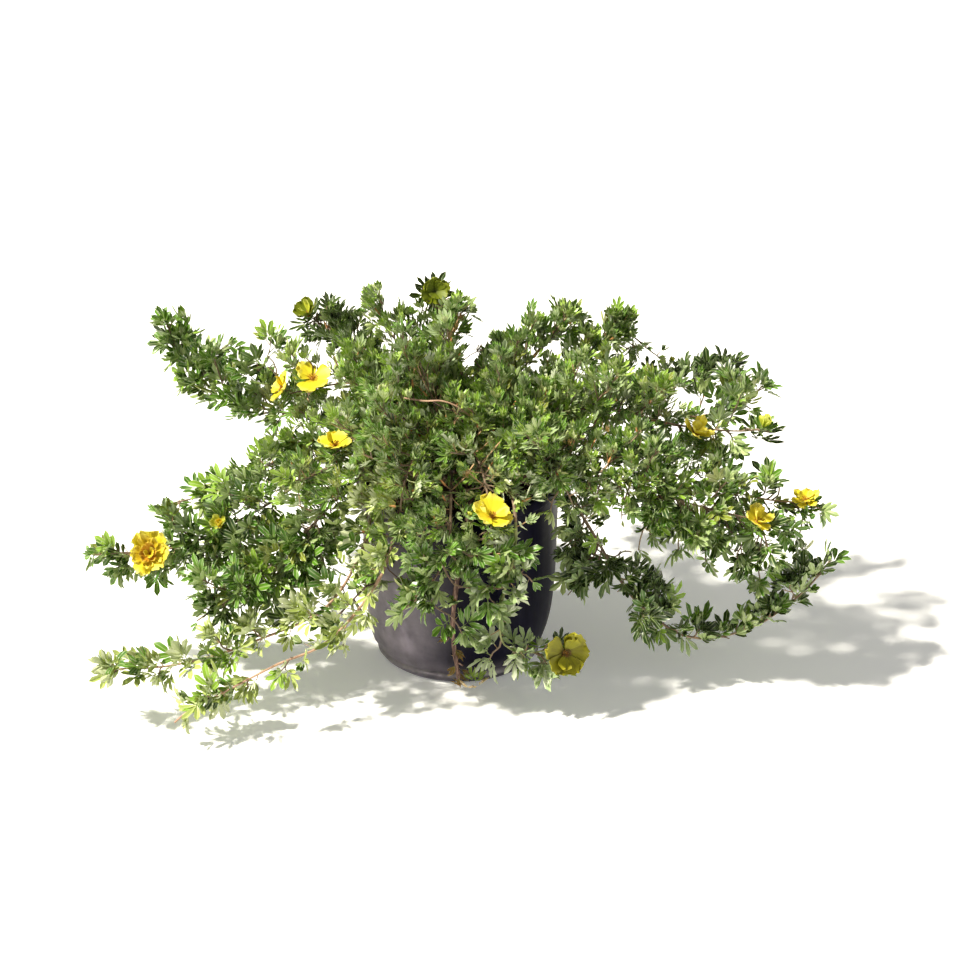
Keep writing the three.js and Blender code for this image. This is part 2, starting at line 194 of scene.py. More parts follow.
def select_only(piece):
    """Selects one piece in object mode and makes it the active one."""
    bpy.ops.object.select_all(action="DESELECT")
    piece.select_set(True)
    bpy.context.view_layer.objects.active = piece


def edit(piece):
    """Opens a piece in edit mode, with nothing else selected."""
    select_only(piece)
    bpy.ops.object.mode_set(mode="EDIT")


def done():
    """Back to object mode."""
    bpy.ops.object.mode_set(mode="OBJECT")


def pick(piece, wanted, kind="verts"):
    """In edit mode, selects the vertices, edges or faces whose middle passes the test."""
    shape = bmesh.from_edit_mesh(piece.data)
    bpy.ops.mesh.select_all(action="DESELECT")
    for element in getattr(shape, kind):
        middle = element.co if kind == "verts" else sum(
            (v.co for v in element.verts), Vector()
        ) / len(element.verts)
        if wanted(middle):
            element.select_set(True)
    shape.select_flush_mode()
    bmesh.update_edit_mesh(piece.data)


def corner_array(piece):
    """The vertices of a piece as an array, one row each."""
    flat = np.empty(len(piece.data.vertices) * 3)
    piece.data.vertices.foreach_get("co", flat)
    return flat.reshape(-1, 3)


def set_corners(piece, corners):
    """Writes the vertices back."""
    piece.data.vertices.foreach_set("co", np.asarray(corners, dtype=float).ravel())
    piece.data.update()


def apply_modifiers(piece):
    """Applies every modifier of a piece."""
    select_only(piece)
    for modifier in list(piece.modifiers):
        bpy.ops.object.modifier_apply(modifier=modifier.name)


def close_edit():
    """Turns all faces of the open piece outwards, and goes back to object mode."""
    bpy.ops.mesh.select_all(action="SELECT")
    bpy.ops.mesh.normals_make_consistent(inside=False)
    done()


def to_triangles(piece):
    """Cuts every face of a piece into triangles."""
    edit(piece)
    bpy.ops.mesh.select_all(action="SELECT")
    bpy.ops.mesh.quads_convert_to_tris(quad_method="BEAUTY", ngon_method="BEAUTY")
    done()


def draw_up(disc, radius, height, profile):
    """Draws a disc's edge up through [radius, height] in millimetres, and closes the shape."""
    edit(disc)
    pick(disc, lambda middle: math.hypot(middle.x, middle.y) > 0.5 * radius, "edges")
    for wide, high in [(r * MM, h * MM) for r, h in profile]:
        bpy.ops.mesh.extrude_region_move(TRANSFORM_OT_translate={"value": (0, 0, high - height)})
        bpy.ops.transform.resize(value=(wide / radius, wide / radius, 1), center_override=(0, 0, high))
        radius, height = wide, high
    bpy.ops.mesh.edge_face_add()
    close_edit()


def finish_piece(piece, name, slot, *nodes):
    """Names a finished piece, lets it ride on the plant and hides the parts of the model that it stands for.
    """
    piece.name = name
    piece.data.name = name
    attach(piece, "root")
    if nodes:
        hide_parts(*nodes)
    piece.data.calc_loop_triangles()
    print(name, len(piece.data.loop_triangles), "triangles")


# %% [markdown]
# ## Pot
#
# A nursery pot is blow-moulded from recycled polyethylene with carbon black: thin, slightly soft
# and never quite round once it has been handled. It is drawn up as by hand from a disc: its edge
# is extruded up the outside, over the rolled lip and down the inside.

# %% Draw the pot up from a disc
POT_SIDES = 112
POT_BASE_RADIUS = 65 * MM
# [radius, height] up the outside, with the ridge round the foot and the lip at the top
POT_OUTSIDE = [
    (67.6, 1.2), (68.9, 3.6), (70, 6), (70.4, 7.6), (70, 9), (69.1, 10.5), (69.9, 12.5), (73, 18),
    (75.6, 26), (77.5, 34), (79.3, 44), (80.5, 54), (81.7, 66), (82.5, 78), (83, 90), (83.3, 102),
    (83.5, 115), (83.8, 136), (84, 155), (84.3, 157), (85.6, 157.6), (86, 159), (86, 166.4),
    (85.4, 167.6),
]
# And down the inside, from the top of the lip to the floor
POT_INSIDE = [
    (84, 168), (82.6, 167.2), (82.3, 160), (82.3, 150), (82, 130), (81.9, 115), (80.9, 78), (78.9, 54),
    (75.9, 34), (71.4, 18), (67.4, 10.5), (65, 6.4), (61, 2.4),
]
pot = start_with(
    bpy.ops.mesh.primitive_circle_add, vertices=POT_SIDES, radius=POT_BASE_RADIUS, fill_type="NGON"
)
draw_up(pot, POT_BASE_RADIUS, 0.0, POT_OUTSIDE + POT_INSIDE)
print("pot", len(pot.data.vertices), "vertices")

# %% [markdown]
# The handled pot is dented: the lower left is pushed out by a few millimetres and the wall has
# shallow upright flutes. Both are moves of its vertices along the radius, which keep the wall's
# thickness. The drain holes are cut with five cylinders.

# %% Dent the wall and cut the drain holes
BULGES = [
    # towards (degrees), height, reach in degrees, reach in height, how far out (mm)
    (208, 22, 34, 26, 4.2),
    (232, 60, 22, 40, 1.6),
    (262, 46, 16, 34, -1.6),
    (300, 60, 24, 50, 1.2),
    (180, 90, 20, 40, -1.2),
    (70, 50, 30, 40, 1.8),
    (140, 70, 24, 50, -1.5),
    (20, 90, 26, 45, -1.4),
]
FLUTES = 23
FLUTE_DEPTH = 0.25
FLUTE_LEAN = 0.7
FLUTE_BANDS = 5
# The foot and the lip keep their shape: the height of the foot, of the lip, and how far it reaches
HELD_FOOT = 4
HELD_LIP = 162
HELD_BELOW_LIP = 20


def dent(corners):
    """Moves points of the wall along the radius, by the bulges and the flutes."""
    radius = np.hypot(corners[:, 0], corners[:, 1])
    angle = np.degrees(np.arctan2(corners[:, 1], corners[:, 0])) % 360
    height = corners[:, 2] / MM
    flutes = np.sin(np.radians(angle * FLUTES + height * FLUTE_LEAN))
    out = FLUTE_DEPTH * flutes * np.sin(np.radians(angle * FLUTE_BANDS))
    for towards, middle, wide, high, depth in BULGES:
        off = (angle - towards + 180) % 360 - 180
        out += depth * np.exp(-((off / wide) ** 2) - ((height - middle) / high) ** 2)
    held = np.clip(height / HELD_FOOT, 0, 1) * np.clip((HELD_LIP - height) / HELD_BELOW_LIP, 0, 1)
    share = 1 + out * MM * held / np.maximum(radius, 1e-6)
    dented = corners.copy()
    dented[:, 0] *= share
    dented[:, 1] *= share
    return dented


DRAIN_HOLES = 5
DRAIN_RADIUS = 5 * MM
DRAIN_CIRCLE = 46 * MM
set_corners(pot, dent(corner_array(pot)))
for i in range(DRAIN_HOLES):
    turn = 2 * math.pi * i / DRAIN_HOLES
    cutter = start_with(
        bpy.ops.mesh.primitive_cylinder_add, vertices=24, radius=DRAIN_RADIUS, depth=20 * MM,
        location=(DRAIN_CIRCLE * math.cos(turn), DRAIN_CIRCLE * math.sin(turn), 0),
    )
    cut = pot.modifiers.new("drain_hole", "BOOLEAN")
    cut.object = cutter
    cut.operation = "DIFFERENCE"
    apply_modifiers(pot)
    bpy.data.objects.remove(cutter)
pot.data.shade_smooth()
pot.data.set_sharp_from_angle(angle=math.radians(50))
print("pot with its dents and holes", len(pot.data.polygons), "faces")

# %% [markdown]
# Black polyethylene straight from the mould is a soft charcoal with a slight gloss. Handling leaves
# fine upright rubs and a chalky scuff on the ridge round the foot, with a film of dried dirt low
# on the wall. Dirt and rubs are both duller and paler than the plastic. The same pale film is also
# painted over the left side, where the sun falls on it: there it is painted light, not dirt.

# %% Moulded polyethylene
RUB_SPACING = 2.2 * MM
FOOT_HEIGHT = 8 * MM
pot_plastic, tree = new_material("scuffed_moulded_polyethylene")
place = add_node(tree, "TexCoord").outputs["Object"]
upright = add_node(tree, "Mapping", {"Vector": place, "Scale": (1, 1, 0.06)})
rubs = add_node(tree, "TexNoise", {
    "Vector": upright, "Scale": 1 / RUB_SPACING / 2, "Detail": 4, "Roughness": 0.6,
})
patches = add_node(tree, "TexNoise", {"Vector": place, "Scale": 38, "Detail": 5, "Roughness": 0.62})
spot = add_node(tree, "SeparateXYZ", {"Vector": place})
height = spot.outputs["Z"]
# Painted light: the wall is painted paler towards the sunlit left side (smaller X), beside the real dirt low
# down
painted_sunlit_side = add_node(tree, "MapRange", {
    "Value": spot.outputs["X"], "From Min": 12 * MM, "From Max": -70 * MM, "To Max": 0.95,
}, interpolation_type="SMOOTHSTEP")
foot = add_node(tree, "MapRange", {
    "Value": height, "From Min": FOOT_HEIGHT * 3.2, "From Max": FOOT_HEIGHT,
}, interpolation_type="SMOOTHSTEP")
ridge = add_node(tree, "MapRange", {
    "Value": add_node(tree, "Math", {
        0: add_node(tree, "Math", {0: height, 1: FOOT_HEIGHT}, operation="SUBTRACT"),
    }, operation="ABSOLUTE"),
    "From Min": 3.2 * MM, "From Max": 0.6 * MM,
})
# Real dirt low on the wall, plus the painted light of the sunlit left side
foot_film_and_sunlit_side = add_node(tree, "Math", {0: foot, 1: 0.3, 2: painted_sunlit_side}, operation="MULTIPLY_ADD")
dust_and_sunlit_side = add_node(tree, "Math", {
    0: add_node(tree, "ValToRGB", {"Fac": patches}, [(0.3, 0.5), (0.68, 1.0)]),
    1: foot_film_and_sunlit_side,
}, operation="MULTIPLY", use_clamp=True)
plain = add_node(tree, "Mix", {
    "Factor": add_node(tree, "ValToRGB", {"Fac": rubs}, [(0.42, 0.0), (0.75, 1.0)]),
    6: linear("#0c0b1a"), 7: linear("#171628"),
}, data_type="RGBA")
# The pale colour of the dust, also used as painted light on the sunlit side
dusty_and_sunlit = add_node(tree, "Mix", {"Factor": dust_and_sunlit_side, 6: plain, 7: linear("#8c848e")}, data_type="RGBA")
scuff = add_node(tree, "Math", {
    0: ridge, 1: add_node(tree, "ValToRGB", {"Fac": patches}, [(0.4, 0.15), (0.6, 0.9)]),
}, operation="MULTIPLY")
colour = add_node(tree, "Mix", {"Factor": scuff, 6: dusty_and_sunlit, 7: linear("#a09a9e")}, data_type="RGBA")
gloss = add_node(tree, "MapRange", {"Value": dust_and_sunlit_side, "To Min": 0.42, "To Max": 0.8})
bump = add_node(tree, "Bump", {"Strength": 0.25, "Distance": 0.2 * MM, "Height": rubs})
shine = add_node(tree, "MapRange", {"Value": dust_and_sunlit_side, "To Min": 0.06, "To Max": 0.4})
surface = add_node(tree, "BsdfPrincipled", {
    "Base Color": colour, "Roughness": gloss, "Normal": bump, "IOR": 1.51, "Specular IOR Level": shine,
})
add_node(tree, "OutputMaterial", {"Surface": surface})
pot.data.materials.append(pot_plastic)
finish_piece(pot, "nursery_pot", "pot_plastic", "pot")

# %% [markdown]
# ## Where the shoots run
#
# The measured model has one smooth line for each shoot. The same points are repeated here, in
# millimetres, with how each shoot leaves the crown. A centripetal Catmull-Rom curve joins them,
# because it never loops or overshoots between points.

# %% The route of every shoot
CROWN = np.array((0.0, 0.0, 0.152))
CROWN_REACH = 20.3 * MM
STEM_START = 14 * MM
STEM_BASE_RADIUS = 2.5 * MM
STEM_TIP_RADIUS = 1.0 * MM
# name: azimuth and lift of its foot (degrees), which mass of leaves it bears, route
SHOOTS = {
    "top_flower": (100, 82, "crown", [(-5, 22, 225), (-14, 50, 264), (-20, 73, 297)]),
    "top_left": (125, 64, "crown", [(-28, 40, 222), (-56, 72, 258), (-76, 95, 276)]),
    "top_right": (48, 64, "crown", [(32, 38, 215), (66, 78, 243), (91, 104, 264)]),
    "mound_left": (196, 66, "crown", [(-30, -10, 215), (-70, -22, 222), (-104, -32, 196)]),
    "mound_front": (256, 66, "crown", [(-14, -30, 215), (-32, -64, 218), (-44, -94, 198)]),
    "mound_right": (322, 66, "crown", [(28, -24, 215), (58, -50, 216), (84, -74, 194)]),
    "left_high": (160, 60, "crown", [
        (-38, 18, 214), (-84, 42, 228), (-124, 58, 218), (-148, 62, 210),
    ]),
    "back_left_flower": (140, 44, "back_left_flower", [
        (-45, 48, 205), (-90, 90, 238), (-129, 125, 255),
    ]),
    "long_back_left": (154, 24, "long_back_left", [
        (-60, 30, 184), (-130, 72, 184), (-195, 112, 180), (-236, 135, 190), (-262, 151, 242),
    ]),
    "high_right": (28, 48, "high_right", [(50, 30, 206), (98, 68, 234), (136, 98, 256)]),
    "long_back_right": (44, 24, "long_back_right", [
        (58, 52, 184), (125, 88, 194), (185, 107, 198), (238, 119, 208),
    ]),
    "right_upturned": (12, 34, "right_high", [
        (50, 14, 198), (120, 30, 210), (190, 38, 200), (235, 42, 204), (257, 44, 226),
    ]),
    "right_bud": (354, 58, "right_high", [
        (45, -4, 216), (120, 0, 224), (185, 2, 208), (236, 4, 202), (256, 5, 204),
    ]),
    "right_flower": (350, 24, "right_mass", [
        (60, -10, 184), (130, -18, 186), (200, -24, 168), (256, -28, 154), (286, -30, 152),
    ]),
    "right_mass": (336, 44, "right_mass", [
        (50, -26, 196), (112, -54, 194), (180, -66, 172), (228, -66, 158), (246, -66, 154),
    ]),
    "right_loop": (326, 16, "right_loop", [
        (52, -34, 178), (84, -46, 176), (108, -52, 140), (150, -58, 72), (196, -60, 40),
        (245, -58, 48), (288, -54, 80), (310, -50, 108),
    ]),
    "front_right_flower": (300, 34, "front_right_flower", [
        (30, -50, 188), (44, -84, 182), (46, -108, 148), (34, -108, 90), (38, -108, 60),
        (60, -110, 54), (80, -113, 62),
    ]),
    "front_flower": (286, 56, "front", [(10, -42, 208), (21, -78, 198), (28, -104, 164)]),
    "front_spray": (262, 34, "front", [
        (-6, -50, 190), (-6, -86, 184), (-8, -110, 150), (-24, -112, 116), (-46, -112, 94),
    ]),
    "left_low_short": (240, 22, "left_low_short", [
        (-26, -44, 182), (-44, -78, 178), (-62, -100, 122), (-108, -114, 66), (-149, -131, 54),
        (-193, -150, 38), (-217, -159, 29), (-229, -164, 20),
    ]),
    "left_low_long": (222, 28, "left_low_long", [
        (-38, -36, 188), (-64, -64, 178), (-80, -78, 130), (-110, -84, 82), (-169, -93, 55),
        (-210, -106, 46), (-246, -120, 46), (-288, -130, 50),
    ]),
    "left_front": (204, 26, "left_front", [
        (-52, -24, 184), (-84, -36, 176), (-124, -50, 138), (-170, -64, 96), (-218, -78, 66),
    ]),
    "left_flower": (186, 26, "left_flower", [
        (-58, -8, 186), (-112, -16, 176), (-172, -24, 140), (-236, -32, 112), (-308, -36, 106),
    ]),
    "left_middle": (172, 34, "left_middle", [
        (-56, 12, 194), (-115, 22, 188), (-165, 28, 158), (-215, 32, 130), (-248, 34, 120),
    ]),
    "back_left_low": (112, 22, "back_left_low", [
        (-26, 58, 182), (-46, 98, 178), (-80, 150, 138), (-112, 190, 104),
    ]),
    "back_right_low": (72, 22, "back_right_low", [
        (22, 60, 182), (36, 100, 178), (62, 160, 138), (85, 202, 108),
    ]),
}
DRY_SHOOT = (280, 12, [
    (10, -50, 174), (9, -90, 174), (0, -92, 120), (-5, -88, 64), (0, -80, 6),
])


def unit(vector):
    """A vector of length one."""
    return vector / np.linalg.norm(vector)


class Line:
    """A smooth line through points, read by the share of its length (0 to 1)."""

    def __init__(self, points, samples=60):
        points = np.asarray(points, dtype=float)
        points = np.vstack((2 * points[0] - points[1], points, 2 * points[-1] - points[-2]))
        walk = []
        for before, start, end, after in zip(points, points[1:], points[2:], points[3:]):
            a, b, c = [np.linalg.norm(step) ** 0.5 for step in (start - before, end - start, after - end)]
            leave = (start - before) / a - (end - before) / (a + b) + (end - start) / b
            reach = (end - start) / b - (after - start) / (b + c) + (after - end) / c
            t = np.linspace(0, 1, samples, endpoint=False)[:, None]
            walk.append(
                (2 * t**3 - 3 * t**2 + 1) * start + (t**3 - 2 * t**2 + t) * b * leave
                + (3 * t**2 - 2 * t**3) * end + (t**3 - t**2) * b * reach
            )
        self.points = np.vstack((*walk, points[-2]))
        steps = np.linalg.norm(np.diff(self.points, axis=0), axis=1)
        self.length = steps.sum()
        self.shares = np.concatenate(((0,), np.cumsum(steps))) / self.length

    def at(self, share):
        """The point at a share of the length."""
        return np.array([np.interp(share, self.shares, self.points[:, i]) for i in range(3)]).T

    def along(self, share):
        """The direction of growth at a share of the length."""
        return unit(self.at(min(share + 0.01, 1)) - self.at(max(share - 0.01, 0)))


def shoot_line(azimuth, lift, route):
    """The line of a shoot, from the crown through its route."""
    turn, rise = math.radians(azimuth), math.radians(lift)
    outward = np.array((
        math.cos(rise) * math.cos(turn), math.cos(rise) * math.sin(turn), math.sin(rise),
    ))
    root = CROWN + outward * CROWN_REACH
    return Line([root, root + outward * STEM_START] + [np.array(point) * MM for point in route])


lines = {name: shoot_line(foot, lift, route) for name, (foot, lift, mass, route) in SHOOTS.items()}
print("shoots", len(lines), "together", round(sum(line.length for line in lines.values()), 2), "m")

# %% [markdown]
# ## A leaflet, modelled once
#
# Each leaf is cut into five narrow leaflets, 10 to 17 mm long, folded along the midrib and paler
# beneath. One leaflet starts as a plane whose far edge is extruded and narrowed row by row. A cut
# down the middle makes the midrib, which is sunk to fold the blade. The underside is a turned copy
# that shares the outline, so that the leaflet is a thin closed body.

# %% Model the leaflets
LEAFLET_LENGTH = 14 * MM
# Rows up the blade: share of its length, share of its width
OVAL_ROWS = [(0.0, 0.1), (0.36, 0.78), (0.74, 0.94), (1.0, 0.14)]
NEEDLE_ROWS = [(0.0, 0.2), (0.6, 1.0), (1.0, 0.16)]
SEPAL_ROWS = [(0.0, 0.5), (0.34, 1.0), (0.74, 0.56), (1.0, 0.1)]
BLADE_THICKNESS = 0.22 * MM


def leaflet(width, rows, fold, curl):
    """A closed leaflet along +Y from the origin, facing +Z. Fold and curl are in millimetres."""
    foot_width = width * rows[0][1]
    blade = start_with(bpy.ops.mesh.primitive_plane_add, size=1)
    edit(blade)
    bpy.ops.transform.resize(value=(foot_width, rows[1][0] * LEAFLET_LENGTH, 1))
    bpy.ops.transform.translate(value=(0, rows[1][0] * LEAFLET_LENGTH / 2, 0))
    reach, wide = rows[1][0] * LEAFLET_LENGTH, rows[0][1]
    pick(blade, lambda middle: middle.y > 0.9 * reach)
    for share, broad in rows[1:]:
        step = share * LEAFLET_LENGTH - reach
        if step:
            bpy.ops.mesh.extrude_region_move(TRANSFORM_OT_translate={"value": (0, step, 0)})
        reach += step
        bpy.ops.transform.resize(value=(broad / wide, 1, 1), center_override=(0, reach, 0))
        wide = broad
    for end in (0.0, LEAFLET_LENGTH):
        pick(blade, lambda middle: abs(middle.y - end) < 0.02 * LEAFLET_LENGTH)
        bpy.ops.mesh.merge(type="CENTER")
    bpy.ops.mesh.select_all(action="SELECT")
    bpy.ops.mesh.bisect(plane_co=(0, 0, 0), plane_no=(1, 0, 0))
    pick(blade, lambda middle: abs(middle.x) < 0.05 * width and 0 < middle.y < LEAFLET_LENGTH)
    bpy.ops.transform.translate(value=(0, 0, -fold * MM))
    close_edit()
    corners = corner_array(blade)
    corners[:, 2] += curl * MM * (np.sin(np.clip(corners[:, 1] / LEAFLET_LENGTH, 0, 1) * math.pi) - 0.6)
    set_corners(blade, corners)
    if np.mean([face.normal.z for face in blade.data.polygons]) < 0:
        blade.data.flip_normals()
    return blade


def close_blade(blade, width):
    """Adds the underside to a single blade, joined to it all round its outline."""
    edit(blade)
    bpy.ops.mesh.select_all(action="SELECT")
    bpy.ops.mesh.duplicate()
    bpy.ops.mesh.flip_normals()
    bpy.ops.transform.translate(value=(0, 0, -BLADE_THICKNESS))
    done()
    corners = corner_array(blade)
    edge = np.abs(corners[:, 0]) > 0.02 * width
    ends = (corners[:, 1] < 0.01 * LEAFLET_LENGTH) | (corners[:, 1] > 0.99 * LEAFLET_LENGTH)
    half = len(corners) // 2
    rim = np.flatnonzero(edge | ends)
    corners[rim[rim >= half]] = corners[rim[rim >= half] - half]
    set_corners(blade, corners)
    edit(blade)
    bpy.ops.mesh.select_all(action="SELECT")
    bpy.ops.mesh.remove_doubles(threshold=0.01 * MM)
    done()
    to_triangles(blade)
    return blade


def read_model(piece):
    """The corners of a piece, its triangles and which of them face up. The piece is then removed."""
    corners = corner_array(piece)
    faces = np.array([face.vertices[:] for face in piece.data.polygons])
    top = np.array([face.normal.z for face in piece.data.polygons]) > 0
    bpy.data.objects.remove(piece)
    return {"corners": corners, "faces": faces, "top": top}


LEAFLETS = {
    # name: width (mm), rows, fold (mm), curl (mm)
    "broad": (5.4, OVAL_ROWS, 0.8, 1.3),
    "cupped": (4.9, OVAL_ROWS, 1.0, -1.5),
    "narrow": (3.9, OVAL_ROWS, 0.8, -1.2),
    "thin": (3.8, NEEDLE_ROWS, 0.8, 0.8),
    "sepal": (9.0, SEPAL_ROWS, 0.8, -1.6),
}
leaflets = {}
for name, (width, rows, fold, curl) in LEAFLETS.items():
    blade = close_blade(leaflet(width * MM, rows, fold, curl), width * MM)
    model = read_model(blade)
    spots = model["corners"][model["faces"], :2] / (width * MM, LEAFLET_LENGTH)
    spots[:, :, 1] = np.clip(spots[:, :, 1], 0, 1)
    leaflets[name] = {**model, "spots": spots}
    print(name, len(leaflets[name]["faces"]), "triangles")

# %% [markdown]
# ## A whole leaf
#
# Three leaflets spread from the end of a short stalk and two more stand lower on it. Several leaves
# are put together from the leaflets, open ones for the trailing shoots and narrow upright ones for
# the dense mound, and small tight ones for the growing tips. Each blade gets a cell of a small
# chart: across it and along it one way, upper side in the top half and underside in the lower half.

# %% Put the leaves together
STALK_LENGTH = 8 * MM
STALK_RADIUS = 0.42 * MM
# A cell's free margin at each side, and where a blade's foot lies in it and how far its tip is
CELL_MARGIN = 0.1
CELL_FOOT = 0.02
CELL_REACH = 0.46


def small_model(operator, along_from, along_to, **settings):
    """A small part from a primitive, laid along +Y, with its places in the chart from foot to tip."""
    made = start_with(operator, **settings)
    bpy.ops.object.transform_apply(location=True, rotation=True, scale=True)
    to_triangles(made)
    model = read_model(made)
    reach = model["corners"][:, 1]
    share = (reach - reach.min()) / (reach.max() - reach.min())
    spots = np.zeros((len(model["faces"]), 3, 2))
    spots[:, :, 1] = along_from + (along_to - along_from) * share[model["faces"]]
    return {**model, "spots": spots, "top": np.ones(len(model["faces"]), bool)}


def put_together(parts):
    """Joins models, each with a 4 by 4 matrix, into one."""
    moved = []
    count = 0
    for model, matrix in parts:
        matrix = np.array(matrix)
        corners = model["corners"] @ matrix[:3, :3].T + matrix[:3, 3]
        moved.append({**model, "corners": corners, "faces": model["faces"] + count})
        count += len(corners)
    return {key: np.concatenate([model[key] for model in moved]) for key in moved[0]}


leaf_stalk = small_model(
    bpy.ops.mesh.primitive_cone_add, 0.5, 0.5, vertices=3, radius1=STALK_RADIUS, radius2=0,
    depth=1.2 * STALK_LENGTH, location=(0, 0.6 * STALK_LENGTH, 0), rotation=(-math.pi / 2, 0, 0),
)


def leaf(kind, spread, raised, size=1.0, pairs=2):
    """A leaf of leaflets of one kind. Spread opens the leaflets, and raised lifts the side ones."""
    blade = leaflets[kind]
    stalk_size = 0.8 if pairs > 1 else 0.5
    parts = [(leaf_stalk, Matrix.Scale(stalk_size * size, 4))]
    reach = STALK_LENGTH * stalk_size * size
    places = [(0.0, 1.0, 1.0)]
    for side in (1, -1):
        places.append((side * spread, 0.86, 0.9))
        if pairs > 1:
            places.append((side * spread * 1.3, 0.36, 0.78))
    for turn, along, share in places:
        matrix = (
            Matrix.Translation((0, reach * along, 0))
            @ Matrix.Rotation(-math.radians(turn), 4, "Z")
            @ Matrix.Rotation(math.radians(raised + 7 if turn > 0 else raised - 4), 4, "X")
            @ Matrix.Scale(share * size, 4)
        )
        parts.append((blade, matrix))
    return put_together(parts)


LEAVES = {
    "open": leaf("broad", 46, 10),
    "drooping": leaf("cupped", 44, -12, 0.97),
    "hollow": leaf("cupped", 46, 24, 1.02),
    "upright": leaf("narrow", 30, 14, 0.95),
    "needle": leaf("thin", 25, 10, 0.93),
    "young": leaf("cupped", 24, 16, 0.64, 1),
    "tip": leaf("thin", 20, 10, 0.66, 1),
}
print("leaves", {name: len(model["faces"]) for name, model in LEAVES.items()})

# %% [markdown]
# ## Leaf tissue
#
# A leaflet is leathery and slightly glossy above, with a fine silvery margin, and paler and silky
# beneath. The margin is painted paler than its hairs alone would make it, as a painted highlight of
# the sun glinting on the edges. Light also comes through the leaflet, which makes the shaded side of
# the shrub glow yellow-green. The chart has one column for each tone, so one material serves every
# leaf on the plant.

# %% Leaf tissue from the chart
# Upper side and underside of each tone, from old dark leaves to fresh tips, and one dried up;
# the darkest, shaded, is also painted shade on leaves that stand in shade
TONES = {
    "shaded": ("#1d3a0c", "#5c7642"),
    "mid": ("#3c6a16", "#849a66"),
    "full": ("#54821e", "#98ac70"),
    "bright": ("#84aa30", "#b0c080"),
    "lime": ("#a4c34c", "#c6d092"),
    "silver": ("#9cb080", "#d2dabe"),
    "olive": ("#7f8830", "#acb172"),
    "pale": ("#a8b664", "#d8deb6"),
    "dried": ("#a8804a", "#b9986a"),
}


def chart_reader(tree, columns):
    """Sockets for the column, the distance from the midrib, the way along and the side of a blade."""
    chart = add_node(tree, "UVMap", uv_map="OFBake")
    split = add_node(tree, "SeparateXYZ", {"Vector": chart})
    column = split.outputs["X"]
    cell = add_node(tree, "Math", {0: column, 1: columns}, operation="MULTIPLY")
    inside = add_node(tree, "Math", {0: cell}, operation="FRACT")
    off = add_node(tree, "Math", {0: inside, 1: 0.5}, operation="SUBTRACT")
    from_rib = add_node(tree, "Math", {0: off}, operation="ABSOLUTE")
    row = split.outputs["Y"]
    side = add_node(tree, "Math", {0: row, 1: 0.5}, operation="GREATER_THAN")
    double = add_node(tree, "Math", {0: row, 1: 2}, operation="MULTIPLY")
    along = add_node(tree, "Math", {0: double}, operation="FRACT")
    return column, from_rib, along, side


def tone_stops(tones, which):
    """The stops of a ramp in steps that gives one of the colours of every tone."""
    return [(i / len(tones), colours[which]) for i, colours in enumerate(tones.values())]


leaf_tissue, tree = new_material("leathery_leaf_tissue")
column, from_rib, along, side = chart_reader(tree, len(TONES))
upper, under = [
    add_node(tree, "ValToRGB", {"Fac": column}, tone_stops(TONES, which), steps=True)
    for which in (0, 1)
]
sides = add_node(tree, "Mix", {"Factor": side, 6: under, 7: upper}, data_type="RGBA")
rib = add_node(tree, "ValToRGB", {"Fac": from_rib}, [(0.015, 0.5), (0.07, 0.0)])
ribbed = add_node(tree, "Mix", {"Factor": rib, 6: sides, 7: linear("#c3cf94")}, data_type="RGBA")
# The pale margin: the real silvery hairs, brightened into a painted highlight of sun on the edges
rim = add_node(tree, "ValToRGB", {"Fac": from_rib}, [(0.28, 0.0), (0.36, 0.9)])
rimmed = add_node(tree, "Mix", {"Factor": rim, 6: ribbed, 7: linear("#e4eac8")}, data_type="RGBA")
fresh = add_node(tree, "ValToRGB", {"Fac": along}, [(0.1, 0.28), (0.6, 0.0)])
leaf_colour = add_node(tree, "Mix", {"Factor": fresh, 6: rimmed, 7: linear("#9fb356")}, data_type="RGBA")
blade_gloss = add_node(tree, "BsdfPrincipled", {
    "Base Color": leaf_colour, "Roughness": 0.3, "Specular IOR Level": 0.65, "IOR": 1.45,
})
glow = add_node(tree, "Mix", {"Factor": 0.5, 6: leaf_colour, 7: linear("#c8dc3c")}, data_type="RGBA")
through = add_node(tree, "BsdfTranslucent", {"Color": glow})
both = add_node(tree, "MixShader", {0: 0.22, 1: blade_gloss, 2: through})
add_node(tree, "OutputMaterial", {"Surface": both})
print("leaf tones", list(TONES))

# %% [markdown]
# ## Reading places in the picture
#
# The camera is a plain pinhole, so one short function gives the place of a point in the picture and
# another gives the point that a place in the picture shows at a chosen depth.

# %% From the plant to the picture and back
AHEAD = -np.array(back)
UPWARD = np.array((0, math.sin(CAMERA_ELEVATION), math.cos(CAMERA_ELEVATION)))
EYE = np.array(camera.location)
PIXELS_PER_RADIAN = CAMERA_DISTANCE / (MM_PER_PIXEL * MM)


def in_picture(points):
    """Where points appear in the picture, in pixels from its upper left corner."""
    off = np.atleast_2d(points) - EYE
    scale = PIXELS_PER_RADIAN / (off @ AHEAD)
    return PICTURE_PIXELS / 2 + np.column_stack((off[:, 0] * scale, -(off @ UPWARD) * scale))


def point_behind(spot, depth):
    """The point that a place in the picture shows, where Y has a given value."""
    across_picture, down_picture = (np.array(spot) - PICTURE_PIXELS / 2) / PIXELS_PER_RADIAN
    ray = AHEAD + across_picture * np.array((1.0, 0.0, 0.0)) - down_picture * UPWARD
    return EYE + ray * (depth - EYE[1]) / ray[1]

print("pixels to a millimetre", round(1 / MM_PER_PIXEL, 2))
